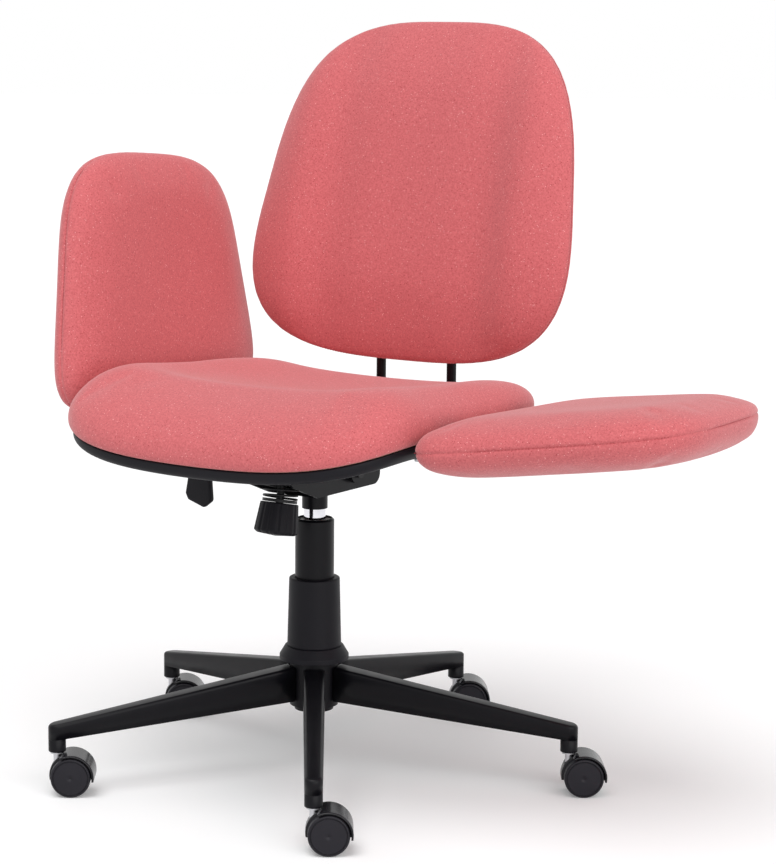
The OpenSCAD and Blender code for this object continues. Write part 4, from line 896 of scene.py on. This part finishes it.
hoodMesh = sharpened(makeHood(), 35)
wheelMesh = makeWheels()
for number in range(1, 6):
    angle = math.radians(base["firstLeg"] + base["step"] * (number - 1))
    away = base["stemCircle"]
    place = Matrix.Translation((away * math.cos(angle), away * math.sin(angle), 0))
    place = place @ Matrix.Rotation(math.radians(caster["heading"]), 4, "Z")
    for name, mesh, body, finish, node in (
            ("casterHood", hoodMesh, "caster", casterGloss, "caster_hood"),
            ("casterWheels", wheelMesh, "wheels", wheelNylon, "caster_wheels")):
        own = mesh.copy()
        own.transform(place)
        addPiece(f"{name}{number}", own, f"{body}_{number}", finish, [f"{node}_{number}"])
print("casters made")

# Tension knob, spring and lever grip
bolt = {"y": -0.077, "z": 0.364, "lean": 12.0}
onBolt = (Matrix.Translation((0, bolt["y"], bolt["z"]))
          @ Matrix.Rotation(math.radians(-bolt["lean"]), 4, "X"))
knob = {"radius": 0.028, "length": 0.042, "flutes": 14, "fluteDepth": 0.0012, "bore": 0.00505}
coil = {"radius": 0.021, "wire": 0.0015, "low": 0.0043, "high": 0.0503, "turns": 7, "keep": 0.68}
grip = {"wide": 0.043, "tall": 0.070, "thick": 0.0094, "reach": 0.185, "edge": 0.0034}


def fluteWave(radius, angle, height):
    # flutes: the radius dips by a rounded wave, which fades out towards the axis and both ends
    wave = np.maximum(0, np.cos(angle * knob["flutes"])) ** 1.5
    outer = smoothStep(radius, 0.021, 0.0262)
    return radius - knob["fluteDepth"] * wave * outer


def makeKnob():
    # turned outline with a domed foot, fluted round its side
    r, h = knob["radius"], knob["length"]
    outline = roundedOutline([
        (knob["bore"], -0.0005, 0), (r - 0.0040, -0.0005, 0.0012), (r, -h + 0.0055, 0.0022),
        (r - 0.0045, -h + 0.0022, 0.004), (0.0001, -h, 0), (0.0001, -h + 0.003, 0),
        (knob["bore"], -h + 0.003, 0)], 5)
    return buildMesh("tensionKnob", [(moved(p, onBolt), f) for p, f in revolved(outline, 252, fluteWave)])


def makeSpring():
    # helix of seven turns with a short straight end at both sides, as a round tube
    radius, wire, low, high, turns = (coil[key] for key in ("radius", "wire", "low", "high", "turns"))
    t = np.linspace(0, 1, 24 * turns + 1)
    climb = np.clip((t * turns - 0.35) / (turns - 0.7), 0, 1)
    z = low + wire + (high - low - 2 * wire) * climb
    angle = 2 * math.pi * turns * t
    path = np.stack([radius * np.cos(angle), radius * np.sin(angle), z], -1)
    ahead = np.gradient(path, axis=0)
    ahead /= np.linalg.norm(ahead, axis=1)[:, None]
    side = np.stack([np.cos(angle), np.sin(angle), np.zeros_like(angle)], -1)
    other = np.cross(ahead, side)
    around = np.linspace(0, 2 * math.pi, 12, endpoint=False)[None, :, None]
    points = path[:, None] + wire * (np.cos(around) * side[:, None] + np.sin(around) * other[:, None])
    parts = [gridPart(points), capPart(points[0], path[0]), capPart(points[-1], path[-1])]
    return buildMesh("tensionSpring", [(moved(p, onBolt), f) for p, f in parts])


def makeGrip():
    # hanging paddle: outline in X and Z with rounded corners, thick enough to hold, its rim well rounded
    wide, tall, thick, reach = (grip[key] for key in ("wide", "tall", "thick", "reach"))
    rodZ = 0.412 - (reach - 0.0365) * math.tan(math.radians(9))
    left, low = -reach - wide / 2, rodZ + 0.008 - tall
    shares = [(0.22, 1, 3), (0.12, 0.62, 14), (0.0, 0.24, 5), (0.10, 0.12, 5), (0.70, 0.0, 5),
              (1.0, 0.14, 6), (0.94, 0.62, 14), (0.88, 1.0, 3)]
    outline = roundedOutline([(left + a * wide, low + b * tall, r / 1000) for a, b, r in shares], 6)
    parts = extruded(outline, -thick / 2, thick / 2, grip["edge"], 5)
    return buildMesh("leverGrip", [(np.asarray(p)[:, [0, 2, 1]], f) for p, f in parts])


addPiece("tensionKnob", sharpened(makeKnob(), 50), "knob", blackPlastic, ["tension_knob"])
spring = addPiece("tensionSpring", makeSpring(), "lift", blackOxide, ["tension_spring"])
springTop = moved(np.array([[0, 0, coil["high"]]]), onBolt)[0]
tuple(float(c) for c in springTop)
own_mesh(spring)
addPiece("leverGrip", makeGrip(), "lever", blackPlastic, ["lever_grip"])
print("knob, spring and grip made")

# Floor, world, lamps and camera
studio = {
    "worldStrength": 0.50, "floorColor": 0.88, "floorGlow": 0.15, "floorRadius": 30.0,
    "lamps": [("keyLamp", (0.0, -0.38, 1.0), 1.46, 42.0), ("sideLamp", (1.0, -0.50, 0.45), 1.38, 60.0)],
}
camera = {"distance": 3.277, "height": 0.962, "pitch": 8.98, "yaw": -1.62, "roll": 0.5, "azimuth": 35.0,
          "focalPixels": 2608.0, "imageHeight": 864.0, "sensor": 36.0}


def seenByEye(tree):
    # 1 for rays from the camera and for mirror and glass rays, 0 for the light that falls on the object
    path = addNode(tree, "ShaderNodeLightPath")
    eye = mathNode(tree, "MAXIMUM", path.outputs["Is Camera Ray"], path.outputs["Is Glossy Ray"])
    return mathNode(tree, "MAXIMUM", eye, path.outputs["Is Transmission Ray"])


def makeFloor():
    # a wide disc; pale and lightly glowing to the eye, clear from below
    t = np.linspace(0, 2 * math.pi, 64, endpoint=False)
    ring = np.stack([np.cos(t), np.sin(t), np.zeros_like(t)], -1) * studio["floorRadius"]
    mesh = buildMesh("floor", [capPart(ring, [0, 0, 0])])
    floor = bpy.data.objects.new("floor", mesh)
    floor.location.z = -0.0002
    bpy.context.scene.collection.objects.link(floor)
    material = bpy.data.materials.new("paleFloor")
    material.use_nodes = True
    tree = material.node_tree
    tree.nodes.clear()
    tone = studio["floorColor"]
    cloud = objectNoise(tree, 3.0)
    colour = blendColor(tree, cloud, (tone, tone, tone), (tone * 0.99, tone * 0.99, tone))
    diffuse = addNode(tree, "ShaderNodeBsdfDiffuse")
    tree.links.new(colour, diffuse.inputs["Color"])
    glow = addNode(tree, "ShaderNodeEmission")
    tree.links.new(mathNode(tree, "MULTIPLY", seenByEye(tree), studio["floorGlow"]), glow.inputs["Strength"])
    both = addNode(tree, "ShaderNodeAddShader")
    tree.links.new(diffuse.outputs[0], both.inputs[0])
    tree.links.new(glow.outputs[0], both.inputs[1])
    clear = addNode(tree, "ShaderNodeBsdfTransparent")
    facing = addNode(tree, "ShaderNodeNewGeometry")
    mix = addNode(tree, "ShaderNodeMixShader")
    tree.links.new(facing.outputs["Backfacing"], mix.inputs[0])
    tree.links.new(both.outputs[0], mix.inputs[1])
    tree.links.new(clear.outputs[0], mix.inputs[2])
    output = addNode(tree, "ShaderNodeOutputMaterial")
    tree.links.new(mix.outputs[0], output.inputs[0])
    mesh.materials.append(material)


def makeWorld():
    # soft white light; pure white to the eye
    world = bpy.data.worlds.new("studio")
    bpy.context.scene.world = world
    world.use_nodes = True
    tree = world.node_tree
    background = tree.nodes["Background"]
    background.inputs["Color"].default_value = (1, 1, 1, 1)
    strength = remap(tree, seenByEye(tree), 0, 1, studio["worldStrength"], 1.0)
    tree.links.new(strength, background.inputs["Strength"])


def makeLamps():
    # soft suns, each shining from its direction
    for name, towards, strength, softness in studio["lamps"]:
        light = bpy.data.lights.new(name, "SUN")
        light.energy = strength
        light.angle = math.radians(softness)
        lamp = bpy.data.objects.new(name, light)
        bpy.context.scene.collection.objects.link(lamp)
        lamp.rotation_euler = Vector(towards).to_track_quat("Z", "Y").to_euler()


def makeCamera():
    # pinhole camera from its distance, height, pitch, yaw and roll, all turned to the azimuth
    pitch, yaw, roll = (math.radians(camera[key]) for key in ("pitch", "yaw", "roll"))
    forward = Vector((math.sin(-yaw) * math.cos(pitch), math.cos(yaw) * math.cos(pitch), -math.sin(pitch)))
    right = forward.cross(Vector((0, 0, 1))).normalized()
    up = right.cross(forward)
    level = math.cos(roll) * right + math.sin(roll) * up
    upright = -math.sin(roll) * right + math.cos(roll) * up
    axes = Matrix((level, upright, -forward)).transposed().to_4x4()
    data = bpy.data.cameras.new("camera")
    data.sensor_fit = "VERTICAL"
    data.sensor_height = camera["sensor"]
    data.lens = camera["focalPixels"] / camera["imageHeight"] * camera["sensor"]
    data.clip_end = 200
    eye = bpy.data.objects.new("camera", data)
    bpy.context.scene.collection.objects.link(eye)
    turn = Matrix.Rotation(math.radians(camera["azimuth"]), 4, "Z")
    eye.matrix_world = turn @ Matrix.Translation((0, -camera["distance"], camera["height"])) @ axes
    bpy.context.scene.camera = eye


makeFloor()
makeWorld()
makeLamps()
makeCamera()
bpy.context.scene.view_settings.view_transform = "Standard"
print("floor, lamps and camera set")
